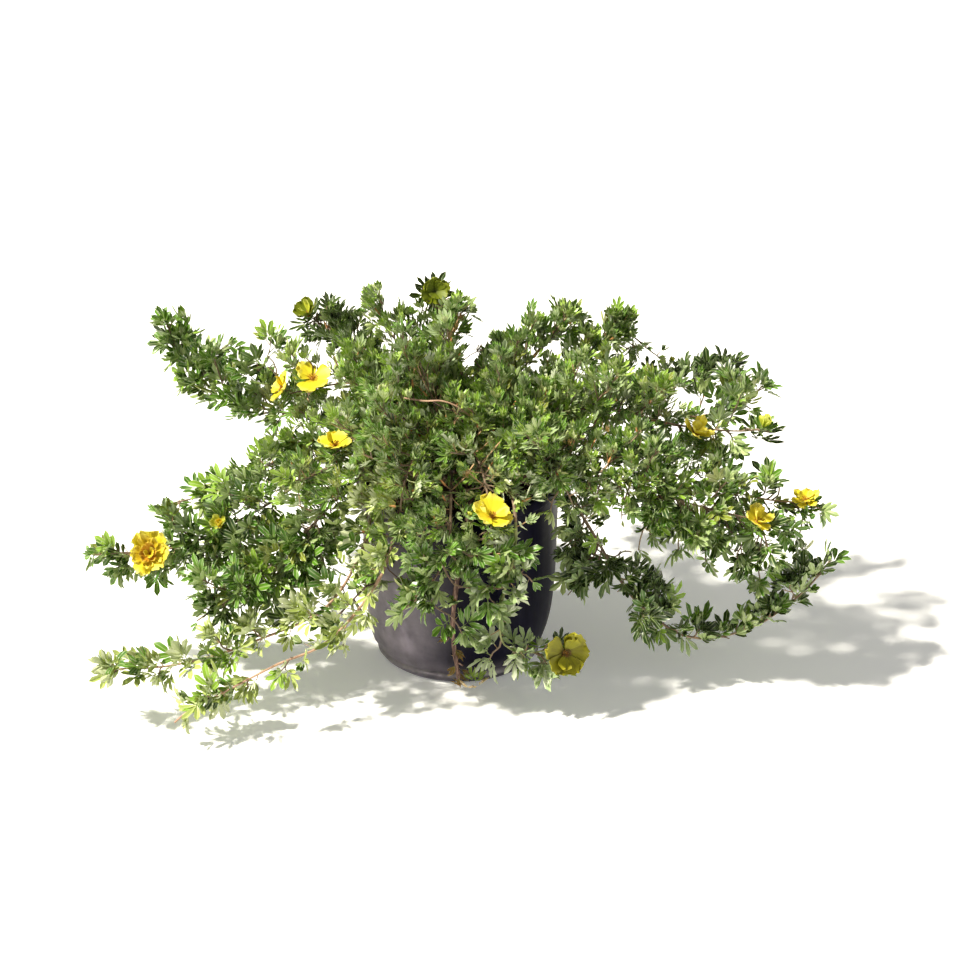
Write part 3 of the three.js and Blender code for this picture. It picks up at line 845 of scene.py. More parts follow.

# %% [markdown]
# The plant's outline was read off the picture, with the gaps that one sees through it. The
# leaves grow by rule and by chance, and those that would stand outside of this line are left out.

# %% The plant's outline in the picture, in pixels
OUTLINE = [
    (435, 270), (485, 305), (515, 342), (525, 316), (568, 296), (582, 302), (586, 324), (600, 330),
    (608, 306), (630, 301), (642, 346),
    (690, 356), (740, 350), (775, 385), (742, 404), (740, 425), (762, 406), (795, 440), (760, 447),
    (750, 458), (774, 466), (774, 456), (797, 456), (795, 474), (766, 484), (752, 478), (754, 498),
    (784, 508), (805, 482), (838, 514), (798, 533), (832, 560), (828, 582),
    (806, 602), (765, 626), (690, 648), (636, 640), (630, 612), (612, 594), (584, 596),
    (560, 580), (548, 620), (590, 645),
    (576, 684), (430, 686), (365, 640), (345, 648), (306, 668), (302, 692),
    (294, 690), (292, 674), (262, 690), (215, 716), (185, 733),
    (172, 692), (140, 693), (98, 688), (95, 656), (190, 640), (192, 580), (110, 586), (80, 556),
    (150, 528), (158, 508), (215, 476), (256, 460), (252, 418), (182, 392), (152, 350), (148, 315),
    (180, 308), (205, 344), (245, 340), (262, 318), (290, 328), (290, 300), (330, 293), (350, 316),
    (360, 312), (360, 290), (380, 290), (382, 314), (398, 322), (396, 300), (418, 300), (420, 312),
]
GAPS = [
    [(690, 568), (733, 572), (742, 600), (700, 612), (683, 590)],
    [(604, 520), (638, 517), (652, 545), (640, 562), (606, 556)],
    [(664, 386), (680, 390), (712, 392), (716, 414), (694, 418), (676, 408)],
    [(716, 424), (735, 420), (746, 428), (738, 442), (722, 444)],
    [(228, 662), (258, 652), (300, 645), (305, 655), (262, 676), (234, 684)],
]


def inside(spots, corners):
    """Which spots lie inside a closed line, by counting its crossings to one side."""
    within = np.zeros(len(spots), bool)
    for (x0, y0), (x1, y1) in zip(corners, corners[1:] + corners[:1]):
        level = (spots[:, 1] >= min(y0, y1)) & (spots[:, 1] < max(y0, y1))
        crossing = x0 + (spots[:, 1] - y0) * (x1 - x0) / (y1 - y0 if y1 != y0 else 1)
        within ^= level & (crossing < spots[:, 0])
    return within


def in_outline(points):
    """Which points appear inside the outline and in none of the gaps."""
    spots = in_picture(points)
    return inside(spots, OUTLINE) & ~np.any([inside(spots, gap) for gap in GAPS], axis=0)


print("outline", len(OUTLINE), "points and", len(GAPS), "gaps")

# %% [markdown]
# ## Where the flowers stand
#
# Thirteen flowers and opening buds stand on short stalks, most of them at the ends of shoots. The
# table says where each one stands on its shoot and which way it faces. It comes before the leaves,
# because a flower is held clear of them: no leaf may stand in it or close in front of it.

# %% The place of every flower
# name: shoot, place on it (0 to 1), stalk (mm), the way it faces, radius (mm)
FLOWERS = {
    "top": ("top_flower", 1.0, (-1.5, 0, 3), (0.3, -0.7, 0.45), 14),
    "back_left": ("back_left_flower", 1.0, (-3.5, 1.2, 2.5), (-0.3, -0.3, 0.7), 16.5),
    "left_edge": ("left_high", 1.0, (-2, -1.5, 7), (-0.85, -0.15, 0.5), 14.5),
    "left_high": ("left_high", 0.84, (-3.5, -13.4, 13.4), (0.1, -0.42, 0.9), 15.5),
    "mound": ("mound_left", 0.97, (-1, -1, 6), (-0.05, -0.06, 1), 14.5),
    "left": ("left_flower", 0.86, (6, -14, 5), (-0.05, -0.8, 0.6), 17.8),
    "left_middle": ("left_flower", 0.66, (3.5, -6.2, 8), (-0.2, -0.5, 0.8), 9),
    "front": ("front_flower", 0.93, (0.5, -6, 4), (0.24, -0.3, 0.92), 18),
    "low_right": ("front_right_flower", 1.0, (7, -5, -3), (0.38, -0.9, 0.22), 19),
    "right_high": ("right_bud", 0.79, (-2.6, -8, -2.6), (0.45, -0.25, 0.86), 14),
    "right_bud": ("right_bud", 1.0, (-1.6, -0.6, 0.5), (0.2, -0.2, 0.96), 11),
    "right": ("right_flower", 1.0, (2.4, -0.7, 2), (0, -0.32, 0.95), 11.5),
    "right_low": ("right_mass", 1.0, (-1.5, -3, -1), (0.35, -0.35, 0.87), 14),
}
heads = {}
for name, (shoot, share, stalk, facing, radius) in FLOWERS.items():
    foot = lines[shoot].at(share)
    heads[name] = (foot, foot + np.array(stalk) * MM, unit(np.array(facing, dtype=float)))
    node_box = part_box("flower_" + name)
    off = (Vector(heads[name][1]) - (node_box[0] + node_box[1]) / 2).length
    print("flower", name, "stands", round(off / MM, 1), "mm from the middle of its node")

# %% [markdown]
# ## Growing the side twigs and their leaves
#
# Along each shoot a side twig leaves every few millimetres, turned by the golden angle from the last
# one, and bends up towards the light. Leaves sit round it in the same spiral, open low on the twig
# and closed into a tuft at its tip. On the mound the twigs are long and upright, which makes it
# dense. On the trailing shoots they are short, and the leaves are larger and lie flatter. In the
# functions, trail goes from 0 on the mound to 1 on the shoots that trail away or hang.

# %% Grow a twig with its leaves
GOLDEN_ANGLE = math.radians(137.5)
UP = np.array((0.0, 0.0, 1.0))
TO_LIGHT = unit(np.array((-0.5, -0.4, 0.75)))
TO_SUN = unit(np.array(LIGHTS["sun_side"][1]))
# How far from the pot's axis the mound ends, and where a shoot wholly trails
MOUND_REACH = 120 * MM
TRAIL_REACH = 210 * MM
# Leaves hang below this height, and wholly so a little lower
HANGS_BELOW = 165 * MM
HANGING_DEPTH = 30 * MM
# The mound reaches further on the right, behind its front shoots, and is closed lower down there
RIGHT_FROM = 80 * MM
RIGHT_BEHIND = -50 * MM
RIGHT_MORE_REACH = 50 * MM
RIGHT_HANGS_BELOW = 140 * MM
TWIG_RADIUS = 0.55 * MM
BRANCH_RADIUS = 0.9 * MM
# The way between leaves on a twig, and how much more it is on trailing shoots
LEAF_SPACING = 5.4 * MM
MORE_SPACING = 2.6 * MM
# How far a leaf opens from its twig in degrees: at the foot, less by this at the tip, and by chance
FOOT_OPENING = 62
TIP_CLOSING = 30
OPENING_CHANCE = 10
# The same in a tuft: the inmost leaf, each next one on a twig or on a shoot, and by chance
TUFT_OPENING = 14
TWIG_TUFT_STEP = 9
SHOOT_TUFT_STEP = 11
TUFT_CHANCE = 4
SHOOT_TUFT = 5
# How many leaves have their shoot's own tint, and how many have their twig's tone
TINT_SHARE = 0.7
TWIG_TONE_SHARE = 0.6
grower = random.Random(20)


def across(direction):
    """Two directions square to one another and to the direction."""
    first = np.cross(direction, UP if abs(direction[2]) < 0.9 else np.array((1.0, 0.0, 0.0)))
    first = unit(first)
    return first, np.cross(direction, first)


def around(axis, turn):
    """The direction that stands square off an axis, turned round it."""
    first, second = across(axis)
    return math.cos(turn) * first + math.sin(turn) * second


def opened(axis, turn, opening, rise=0.0):
    """A direction that opens away from an axis by some degrees, turned round it and lifted."""
    angle = math.radians(opening)
    return unit(math.cos(angle) * axis + math.sin(angle) * around(axis, turn) + rise * UP)


def level(turn):
    """The level direction at an angle from +X."""
    return np.array((math.cos(turn), math.sin(turn), 0.0))


def trailing(point):
    """0 in the mound over the pot, 1 on the parts that trail away from it or hang."""
    on_right = point[0] > RIGHT_FROM
    reach = math.hypot(point[0], point[1])
    reach -= RIGHT_MORE_REACH if on_right and point[1] > RIGHT_BEHIND else 0
    share = min(max((reach - MOUND_REACH) / (TRAIL_REACH - MOUND_REACH), 0), 1)
    below = (RIGHT_HANGS_BELOW if on_right else HANGS_BELOW) - point[2]
    hanging = min(max(below / HANGING_DEPTH, 0), 1)
    return max(share * share * (3 - 2 * share), hanging)


def place_part(found, point, forward, face, kind, size, tone):
    """Notes one leaf, petal or chip: its foot, where it points and faces, its kind, size and tone."""
    face = face - forward * np.dot(face, forward)
    found.append((point, forward, unit(face), kind, size, tone))


def leaf_kind(trail, tip):
    """Which leaf grows here."""
    if tip:
        return grower.choice(["young", "tip", "young"] if trail > 0.5 else ["tip", "tip", "young"])
    if grower.random() < trail:
        return grower.choice(["open", "open", "drooping", "hollow"])
    return grower.choice(["upright", "needle", "upright", "needle", "hollow"])


def leaf_tone(tip, tint, trail):
    """A tone for one leaf: fresher at the tips, and drawn towards the shoot's own tint."""
    if tint and grower.random() < TINT_SHARE:
        return tint
    # Painted light and shade: the sunlit mound leans to lighter tones, the trailing shoots in shade to
    # darker ones
    if tip:
        return grower.choice(["bright", "lime", "full"] if trail < 0.5 else ["bright", "full", "full"])
    if trail < 0.5:
        return grower.choice([
            "shaded", "mid", "full", "full", "bright", "bright", "silver", "silver", "olive",
        ])
    return grower.choice(["shaded", "shaded", "mid", "mid", "mid", "full", "full", "bright", "olive"])


def grow_twig(found, start, direction, length, trail, tint):
    """Grows one side twig: returns its points, and adds its leaves to those found."""
    bend = UP * (0.45 - 0.25 * trail) + 0.15 * TO_LIGHT
    points = [start + length * (direction * s + bend * s * s * 0.5) for s in (0, 0.5, 1)]
    line = Line(points, 6)
    count = max(1, round(line.length / (LEAF_SPACING + MORE_SPACING * trail)))
    turn = grower.uniform(0, 2 * math.pi)
    own_tone = leaf_tone(False, tint, trail)
    for i in range(count):
        share = (i + 0.7) / count
        axis = line.along(min(share, 1))
        turn += GOLDEN_ANGLE
        chance = grower.uniform(-OPENING_CHANCE, OPENING_CHANCE)
        forward = opened(axis, turn, FOOT_OPENING - TIP_CLOSING * share + chance, 0.15)
        face = axis + (0.35 + 0.5 * trail) * TO_LIGHT
        size = grower.uniform(0.8, 1.12) * (0.84 + 0.36 * trail)
        tone = own_tone if grower.random() < TWIG_TONE_SHARE else leaf_tone(False, tint, trail)
        place_part(found, line.at(min(share, 1)), forward, face, leaf_kind(trail, False), size, tone)
    tip_tone = leaf_tone(True, tint, trail)
    axis = line.along(1)
    for i in range(4 if trail < 0.5 else 3):
        turn += GOLDEN_ANGLE
        chance = grower.uniform(-TUFT_CHANCE, TUFT_CHANCE)
        forward = opened(axis, turn, TUFT_OPENING + TWIG_TUFT_STEP * i + chance)
        size = grower.uniform(0.8, 1.15) * (0.9 + 0.2 * trail)
        place_part(found, line.at(1), forward, axis + 0.2 * TO_LIGHT, leaf_kind(trail, True), size, tip_tone)
    return points


# %% [markdown]
# Each shoot has its own habit, read from the picture: the ones over the pot carry long upright
# twigs, the lower ones hang. Side branches set by chance fill the mass, and a second table gives the
# branches that one can make out in the picture, each by its tip.

# %% How each shoot is clothed
# Where its leaves begin (0 to 1), its twigs (mm), how many side branches it has, their length (mm),
# how far they hang instead of rising (0 to 1), and its tint
# The shaded tint is painted shade: it darkens the leaves of the shoots that stand in shade
GROWTH = {
    "top_flower": (0.12, 18, 8, 46, 0.1, None),
    "top_left": (0.12, 17, 7, 44, 0.25, None),
    "top_right": (0.12, 17, 7, 44, 0.25, None),
    "mound_left": (0.1, 18, 9, 55, 0.1, None),
    "mound_front": (0.1, 18, 9, 52, 0.15, None),
    "mound_right": (0.1, 18, 9, 55, 0.1, None),
    "left_high": (0.1, 18, 11, 45, 0.15, None),
    "back_left_flower": (0.2, 17, 6, 38, 0.3, "shaded"),
    "long_back_left": (0.22, 16, 6, 34, 0.0, None),
    "high_right": (0.15, 17, 5, 40, 0.3, None),
    "long_back_right": (0.2, 16, 5, 32, 0.2, "shaded"),
    "right_upturned": (0.12, 17, 10, 42, 0.1, None),
    "right_bud": (0.12, 17, 12, 42, 0.3, None),
    "right_flower": (0.12, 17, 13, 44, 0.5, None),
    "right_mass": (0.12, 17, 13, 44, 0.5, None),
    "right_loop": (0.15, 15, 3, 26, 0.2, "shaded"),
    "front_right_flower": (0.15, 14, 3, 22, 0.3, "silver"),
    "front_flower": (0.12, 16, 7, 34, 0.5, None),
    "front_spray": (0.12, 16, 5, 34, 0.5, "full"),
    "left_low_short": (0.15, 14, 3, 20, 0.6, "pale"),
    "left_low_long": (0.15, 14, 3, 22, 0.5, "pale"),
    "left_front": (0.12, 17, 11, 40, 0.4, None),
    "left_flower": (0.12, 17, 11, 38, 0.35, None),
    "left_middle": (0.12, 17, 12, 42, 0.15, None),
    "back_left_low": (0.12, 18, 12, 46, 0.2, None),
    "back_right_low": (0.12, 18, 12, 46, 0.2, None),
}

# %% Where the tips of side branches stand in the picture, by their shoot, in pixels
BRANCH_TIPS = {
    "top_left": [(409, 304), (371, 292), (366, 326)],
    "top_flower": [
        (478, 306), (463, 356), (472, 325), (470, 303), (455, 290), (424, 286), (445, 300), (412, 290),
        (420, 297), (414, 282), (456, 292), (462, 300), (428, 302),
    ],
    "top_right": [(470, 352), (478, 364), (595, 315), (496, 338), (577, 310), (562, 302), (535, 320)],
    "mound_front": [(398, 540), (419, 518), (440, 470), (425, 490), (452, 500)],
    "mound_left": [(372, 455), (388, 470), (362, 440), (400, 480)],
    "mound_right": [(548, 522), (579, 518), (520, 466), (542, 476), (506, 456), (558, 466), (532, 486)],
    "left_high": [(300, 350), (261, 360), (285, 345), (262, 348), (280, 364), (292, 370), (280, 352)],
    "back_left_flower": [
        (343, 313), (328, 317), (323, 300), (310, 312), (335, 335), (318, 305), (333, 303), (308, 323),
        (300, 324), (320, 326), (340, 322), (310, 340), (325, 348), (318, 336), (336, 346), (333, 302),
        (327, 298), (306, 333), (301, 338),
    ],
    "long_back_left": [
        (270, 430), (244, 411), (203, 397), (187, 389), (180, 376), (236, 339), (215, 345), (243, 352),
        (272, 327), (262, 374), (232, 388), (163, 356), (210, 362), (216, 356), (188, 334), (166, 341),
        (173, 316), (255, 400),
    ],
    "high_right": [
        (645, 350), (668, 362), (625, 314), (615, 330), (600, 350), (640, 354), (622, 344), (617, 306),
    ],
    "long_back_right": [(627, 365), (702, 369), (745, 369), (730, 358), (718, 374), (675, 375)],
    "right_upturned": [
        (758, 411), (768, 386), (728, 394), (650, 440), (600, 418), (588, 428), (618, 422), (572, 440),
        (606, 414), (664, 432), (636, 410), (690, 412),
    ],
    "right_bud": [
        (725, 430), (662, 429), (715, 446), (780, 434), (775, 420), (735, 440), (752, 428), (668, 438),
        (684, 442), (702, 446), (722, 454), (742, 456),
    ],
    "right_flower": [
        (805, 560), (832, 512), (785, 465), (718, 470), (743, 500), (757, 502), (823, 503), (735, 480),
        (788, 470), (776, 476), (732, 456),
    ],
    "right_mass": [
        (600, 515), (622, 530), (650, 548), (678, 560), (705, 570), (736, 582), (762, 590), (780, 572),
        (664, 538), (690, 551), (712, 541), (726, 506), (722, 552), (744, 565), (640, 490), (672, 475),
        (630, 508), (662, 527), (668, 500), (682, 540), (752, 584), (650, 510), (636, 560), (708, 525),
        (652, 450), (666, 444), (680, 446),
    ],
    "right_loop": [
        (665, 582), (675, 590), (655, 575), (680, 600), (565, 505), (572, 520), (562, 536), (566, 560),
        (562, 585), (576, 500), (575, 540), (584, 568), (570, 590), (560, 602), (645, 592), (640, 640),
        (735, 640), (770, 598), (560, 561), (577, 585), (642, 551), (621, 569), (602, 581), (706, 622),
        (750, 618), (787, 574), (800, 567), (825, 572), (670, 630),
    ],
    "front_spray": [
        (505, 612), (468, 642), (431, 560), (532, 567), (400, 556), (388, 532), (412, 522), (432, 504),
        (446, 532), (405, 592), (440, 600), (420, 578),
    ],
    "front_flower": [
        (455, 560), (470, 545), (485, 560), (500, 575), (462, 530), (470, 480), (490, 470), (512, 480),
        (526, 470), (500, 490), (480, 497), (455, 500), (542, 488), (532, 500),
    ],
    "front_right_flower": [
        (540, 589), (485, 668), (519, 659), (470, 590), (550, 640), (545, 656), (560, 678), (585, 640),
        (548, 670), (575, 632), (530, 672),
    ],
    "left_low_short": [
        (364, 625), (373, 560), (385, 500), (370, 512), (394, 520), (366, 482), (378, 540), (345, 655),
        (245, 700), (200, 696), (185, 720), (222, 706),
    ],
    "left_low_long": [
        (350, 537), (365, 560), (290, 598), (345, 600), (290, 615), (240, 615), (204, 627), (210, 667),
        (175, 658), (155, 684), (140, 660), (105, 660), (108, 678), (365, 520), (372, 545), (358, 500),
        (385, 470), (390, 560), (362, 575), (376, 590), (378, 510),
    ],
    "left_front": [
        (270, 600), (262, 590), (276, 612), (258, 608), (340, 535), (342, 520), (355, 490), (345, 510),
        (320, 540), (300, 560), (325, 556), (330, 578), (305, 582), (292, 570), (265, 545), (280, 585),
        (255, 572), (225, 568), (250, 594), (195, 585), (216, 604), (222, 618), (197, 607), (317, 512),
        (320, 566), (340, 552), (300, 550), (285, 542), (275, 596), (232, 598), (250, 575), (312, 530),
        (290, 525), (300, 586), (290, 590), (314, 584),
    ],
    "left_flower": [
        (208, 556), (215, 570), (222, 548), (205, 568), (218, 582), (345, 475), (270, 515), (255, 500),
        (265, 530), (190, 535), (240, 560), (180, 555), (150, 582), (138, 575), (122, 572), (112, 578),
        (108, 547), (182, 576), (235, 545), (210, 512), (170, 560),
    ],
    "left_middle": [
        (247, 468), (232, 478), (208, 485), (215, 505), (165, 520), (300, 460), (264, 438), (285, 444),
        (306, 436), (318, 480), (305, 468), (200, 513), (222, 512), (322, 466), (290, 490), (270, 480),
        (325, 495),
    ],
}
print("side branches", sum(row[2] for row in GROWTH.values()), "by chance and",
      sum(len(tips) for tips in BRANCH_TIPS.values()), "to a tip")

# %% [markdown]
# The same function clothes a shoot and a side branch: it sets twigs along the line, each turned on
# by the golden angle, and ends in a tuft. A twig that would leave the outline is laid along the line.

# %% Clothe a line with twigs
STATION = 6.4 * MM
BRANCH_STATION = 6.6 * MM
SHORTEST_TWIG = 4 * MM
STIPULE_SHARE = 0.12
STIPULE_RADII = (1.05 * MM, 0.5 * MM)


def side_direction(axis, turn, lift):
    """A direction that leaves the stem sideways, turned round it and lifted."""
    return unit(0.55 * axis + 0.85 * (around(axis, turn) + lift * UP))


def tube(points, first, last, tone):
    """A tapering twig: its points, the radius at each of them and its tone."""
    return np.array(points), np.linspace(first, last, len(points)), tone


def clothe(line, leaf_from, twig_length, station, tint, found, tubes):
    """Twigs with their leaves along a shoot or a side branch, and a tuft at its tip."""
    share = leaf_from
    turn = grower.uniform(0, 2 * math.pi)
    while share < 0.97:
        point, axis = line.at(share), line.along(share)
        trail = trailing(point)
        share += station * (1 + 0.25 * trail) * grower.uniform(0.8, 1.2) / line.length
        turn += GOLDEN_ANGLE
        direction = side_direction(axis, turn, 0.75 - 0.5 * trail)
        fullness = min(1, 0.45 + 2.2 * (1 - share)) * grower.uniform(0.6, 1.15)
        length = max(twig_length * MM * (1.1 - 0.35 * trail) * fullness, SHORTEST_TWIG)
        if not in_outline(point + direction * length)[0]:
            direction, length = unit(axis + 0.3 * direction), 0.6 * length
        points = grow_twig(found, point, direction, length, trail, tint)
        if any(before_a_flower(spot) for spot in points[1:]):
            continue
        bark = grower.choice(["brown", "tan", "green"])
        tubes.append(tube(points, TWIG_RADIUS, 0.7 * TWIG_RADIUS, bark))
        if trail < 0.6 and grower.random() < STIPULE_SHARE:
            tubes.append(tube(points[1:], *STIPULE_RADII, "stipule"))
    tip, axis = line.at(1), line.along(1)
    trail = trailing(tip)
    tone = leaf_tone(True, tint, trail)
    for i in range(SHOOT_TUFT):
        turn += GOLDEN_ANGLE
        kind = leaf_kind(trail, i < 3)
        size = grower.uniform(0.85, 1.1) * (0.9 + 0.2 * trail)
        forward = opened(axis, turn, TUFT_OPENING + SHOOT_TUFT_STEP * i)
        place_part(found, tip - axis * 2 * MM, forward, axis + 0.3 * TO_LIGHT, kind, size, tone)


# %% [markdown]
# No leaf may stand close before a flower: not where it faces, not on the front side, where the
# picture shows it, and not on the sun's side, where the leaf would shade it.

# %% Keep flowers clear of leaves
FRONT_SIDE = np.array((0.0, -0.9, 0.44))
# The room before a flower: where it faces, to the camera and to the sun, less so on the dense right
FACING_ROOM = 26 * MM
FRONT_ROOM = 90 * MM
SUN_ROOM = 60 * MM
CROWDED_SUN_ROOM = 38 * MM
ROOM_BEHIND = 1 * MM
# All of that room is nearer to the flower than this
NEAR_A_FLOWER = 110 * MM
# Flowers under this radius are half closed, and need less room
SMALL_FLOWER = 10
SMALL_FLOWER_SHARE = 0.6


def before_a_flower(point):
    """True for a point that stands in an open flower or close in front of it."""
    for name, (foot, head, facing) in heads.items():
        radius = FLOWERS[name][4] * MM * (1.0 if FLOWERS[name][4] > SMALL_FLOWER else SMALL_FLOWER_SHARE)
        off = point - head
        if np.dot(off, off) > NEAR_A_FLOWER**2:
            continue
        sun_room = CROWDED_SUN_ROOM if name.startswith("right") else SUN_ROOM
        for side, room in ((facing, FACING_ROOM), (FRONT_SIDE, FRONT_ROOM), (TO_SUN, sun_room)):
            rise = np.dot(off, side)
            if -ROOM_BEHIND < rise < room and np.linalg.norm(off - rise * side) < radius:
                return True
    return False


# %% [markdown]
# A few twigs show bare on the mound. Each was read off the picture, and the leaves that would hide
# it are left out.

# %% Twigs that show on the mound: picture pixels, depth (mm), radius (mm), tone
SHOWN_TWIGS = [
    ([(404, 398), (424, 401), (442, 401), (456, 406), (470, 416)], -40, 0.9, "pink"),
    ([(430, 400), (446, 409), (462, 412)], -38, 0.7, "bare"),
    ([(436, 402), (426, 386), (418, 366)], 4, 0.6, "tan"),
    ([(449, 338), (454, 328), (461, 314)], 36, 0.7, "tan"),
    ([(464, 360), (472, 354), (484, 349)], 42, 0.5, "pink"),
    ([(476, 470), (488, 456), (500, 442)], -66, 0.7, "tan"),
    ([(452, 490), (464, 478), (474, 464)], -80, 0.7, "tan"),
    ([(556, 452), (570, 444), (584, 438)], -40, 0.6, "pink"),
]
# How near a leaf may come to one in the picture (pixels), and how far before it (real size)
SHOWN_ROOM = 3.5
SHOWN_AHEAD = 2 * MM
# How far a leaf of size one reaches from its foot, and where its middle is
LEAF_REACH = 20 * MM
LEAF_MIDDLE = 11 * MM
LEAF_SPOTS = (0.3, 0.65, 1)
shown_lines = []
for spots, depth, radius, tone in SHOWN_TWIGS:
    shown = Line([point_behind(spot, depth * MM) for spot in spots], 8)
    shown_lines.append((shown.points, in_picture(shown.points), depth * MM))
print("bare twigs that show", len(shown_lines))


def before_a_bare_twig(leaf):
    """True for a leaf that would hide one of the bare twigs that show on the mound."""
    spots = leaf[0] + leaf[1] * np.outer(LEAF_SPOTS, (LEAF_REACH * leaf[4],))
    seen = in_picture(spots)
    for points, places, depth in shown_lines:
        near = np.min(np.linalg.norm(seen[:, None] - places[None], axis=2), axis=1) < SHOWN_ROOM
        if np.any(near & (spots[:, 1] < depth + SHOWN_AHEAD)):
            return True
    return False


# %% [markdown]
# No leaf reaches through the pot's wall or into the ground. Over the mix it may stand inside the rim.

# %% Keep leaves off the pot and the ground
POT_RIM_RADIUS = 87.5 * MM
POT_INNER_RADIUS = 80 * MM
POT_TOP = 170 * MM
GROUND_ROOM = 3 * MM
OVER_THE_MIX = CROWN[2] + 2 * MM


def stays_clear(leaf):
    """False for a leaf that would hide a flower or reach into the pot's wall or the ground."""
    point, forward, size = leaf[0], leaf[1], leaf[4]
    tip = point + forward * LEAF_REACH * size
    for spot in (point, tip):
        reach = math.hypot(spot[0], spot[1])
        in_the_mix_or_wall = spot[2] < OVER_THE_MIX or reach > POT_INNER_RADIUS
        if spot[2] < GROUND_ROOM or spot[2] < POT_TOP and reach < POT_RIM_RADIUS and in_the_mix_or_wall:
            return False
    return not any(before_a_flower(spot) for spot in (point, (point + tip) / 2, tip))


# %% [markdown]
# A side branch either grows by chance or leads to a tip that was read off the picture. For a tip,
# the branch leaves its shoot where the way is cheapest: short, but not too short, and without a
# sharp bend. It stays at about the depth of the shoot there.

# %% Grow the side branches
# Ways and bends are compared as they appear in the picture, in pixels and degrees
BRANCHES_FROM, BRANCHES_TO = 0.08, 0.97
LONG_WAY = 60
SHORT_WAY = 14
SHORT_COST = 1.5
EASY_BEND = 55
BEND_COST = 0.35
SHARP_BEND = 125
SHARP_COST = 30
# The branch ends this far before its tip, which its last leaves fill
TIP_LEAVES = 9 * MM
SHORTEST_BRANCH = 8 * MM
# A leaf whose foot is inside the outline and its middle is not stays this often
LOOSE_SHARE = 0.3


def random_branch(line, share, length, hang):
    """The line of one side branch, which bends up to the light or hangs out and down."""
    point, axis = line.at(share), line.along(share)
    outward = np.array((point[0], point[1], 0.0))
    outward = outward / max(np.linalg.norm(outward), 1e-6)
    direction = side_direction(axis, grower.uniform(0, 2 * math.pi), 0.45 - 0.6 * hang)
    bend = (1 - hang) * (0.7 * UP + 0.2 * TO_LIGHT) + hang * (0.35 * outward - 0.35 * UP)
    return Line([point + length * (direction * s + 0.6 * bend * s * s) for s in (0, 0.3, 0.65, 1)], 12)


def branch_to(line, spot):
    """The line of a side branch whose leaves end at a place in the picture."""
    shares = np.linspace(BRANCHES_FROM, BRANCHES_TO, 60)
    ways = np.array(spot) - in_picture(line.at(shares))
    lengths = np.linalg.norm(ways, axis=1)
    growth = np.gradient(in_picture(line.at(shares)), axis=0)
    growth /= np.linalg.norm(growth, axis=1)[:, None]
    bends = np.degrees(np.arccos(np.clip(np.sum(ways * growth, axis=1) / lengths, -1, 1)))
    cost = lengths + BEND_COST * np.maximum(bends - EASY_BEND, 0) + SHARP_COST * (bends > SHARP_BEND)
    cost += np.maximum(lengths - LONG_WAY, 0) + SHORT_COST * np.maximum(SHORT_WAY - lengths, 0)
    share = shares[np.argmin(cost)]
    start, axis = line.at(share), line.along(share)
    reach = point_behind(spot, start[1] + grower.uniform(-10, 4) * MM) - start
    length = max(np.linalg.norm(reach) - TIP_LEAVES, SHORTEST_BRANCH)
    towards = unit(reach)
    return Line([
        start, start + 0.35 * length * unit(towards + 0.5 * axis),
        start + length * (0.7 * towards + 0.05 * UP), start + length * towards,
    ], 12)


def clothe_shoot(name):
    """Everything that grows on one shoot: the points and widths of its twigs, and its leaves."""
    bare, twig_length, branches, branch_length, hang, tint = GROWTH[name]
    line = lines[name]
    found, tubes = [], []
    clothe(line, bare, twig_length, STATION, tint, found, tubes)
    sides = []
    for i in range(branches):
        share = bare * 0.6 + (0.9 - bare * 0.6) * (i + grower.uniform(0.2, 0.8)) / branches
        length = branch_length * MM * grower.uniform(0.7, 1.15) * (1.1 - 0.4 * share)
        branch = random_branch(line, share, length, hang)
        if in_outline(branch.at(1))[0] and not any(before_a_flower(spot) for spot in branch.points[3:]):
            sides.append(branch)
    sides += [branch_to(line, spot) for spot in BRANCH_TIPS.get(name, [])]
    for side in sides:
        tubes.append(tube(side.at(np.linspace(0, 1, 7)), BRANCH_RADIUS, 0.6 * BRANCH_RADIUS, "brown"))
        clothe(side, 0.15, 0.75 * twig_length, BRANCH_STATION, tint, found, tubes)
    found = [leaf for leaf in found if not before_a_bare_twig(leaf)]
    feet = in_outline(np.array([leaf[0] for leaf in found]))
    middles = in_outline(np.array([leaf[0] + leaf[1] * LEAF_MIDDLE * leaf[4] for leaf in found]))
    kept = [
        leaf for leaf, foot, middle in zip(found, feet, middles)
        if (middle or foot and grower.random() < LOOSE_SHARE) and stays_clear(leaf)
    ]
    return tubes, kept


# %% [markdown]
# A few small leaves stand close under each flower. Where the flower is in shade they get the dark
# tone, which is painted shade, and are a little larger.

# %% Leaves under the flowers, and everything grown
SHADED_FLOWERS = ("top", "right_bud", "back_left", "low_right")
LEAVES_UNDER = 7


def leaves_round(name):
    """The small leaves close under a flower, by the flower's name."""
    foot, head, facing = heads[name]
    dark = name in SHADED_FLOWERS
    tone = "shaded" if dark else "full"
    found = []
    for i in range(LEAVES_UNDER):
        forward = unit(around(facing, i * GOLDEN_ANGLE + len(name)) + (0.02 + 0.06 * (i % 3)) * facing)
        kind = grower.choice(["young", "hollow", "upright"])
        size = grower.uniform(0.8, 1.0) * (1.25 if dark else 1.0)
        under = head - facing * (3.5 + 1.2 * i) * MM
        place_part(found, under, forward, facing + 0.3 * TO_LIGHT, kind, size, tone)
    return found


grown = {name: clothe_shoot(name) for name in SHOOTS}
for name, flower in FLOWERS.items():
    grown[flower[0]][1].extend(leaves_round(name))
for what, which in (("twigs", 0), ("leaves", 1)):
    print(what, sum(len(parts[which]) for parts in grown.values()))

# %% [markdown]
# The leaves of one shoot become a single mesh. Each kind of leaf is copied to all its places at once,
# with its chart column shifted to its tone.

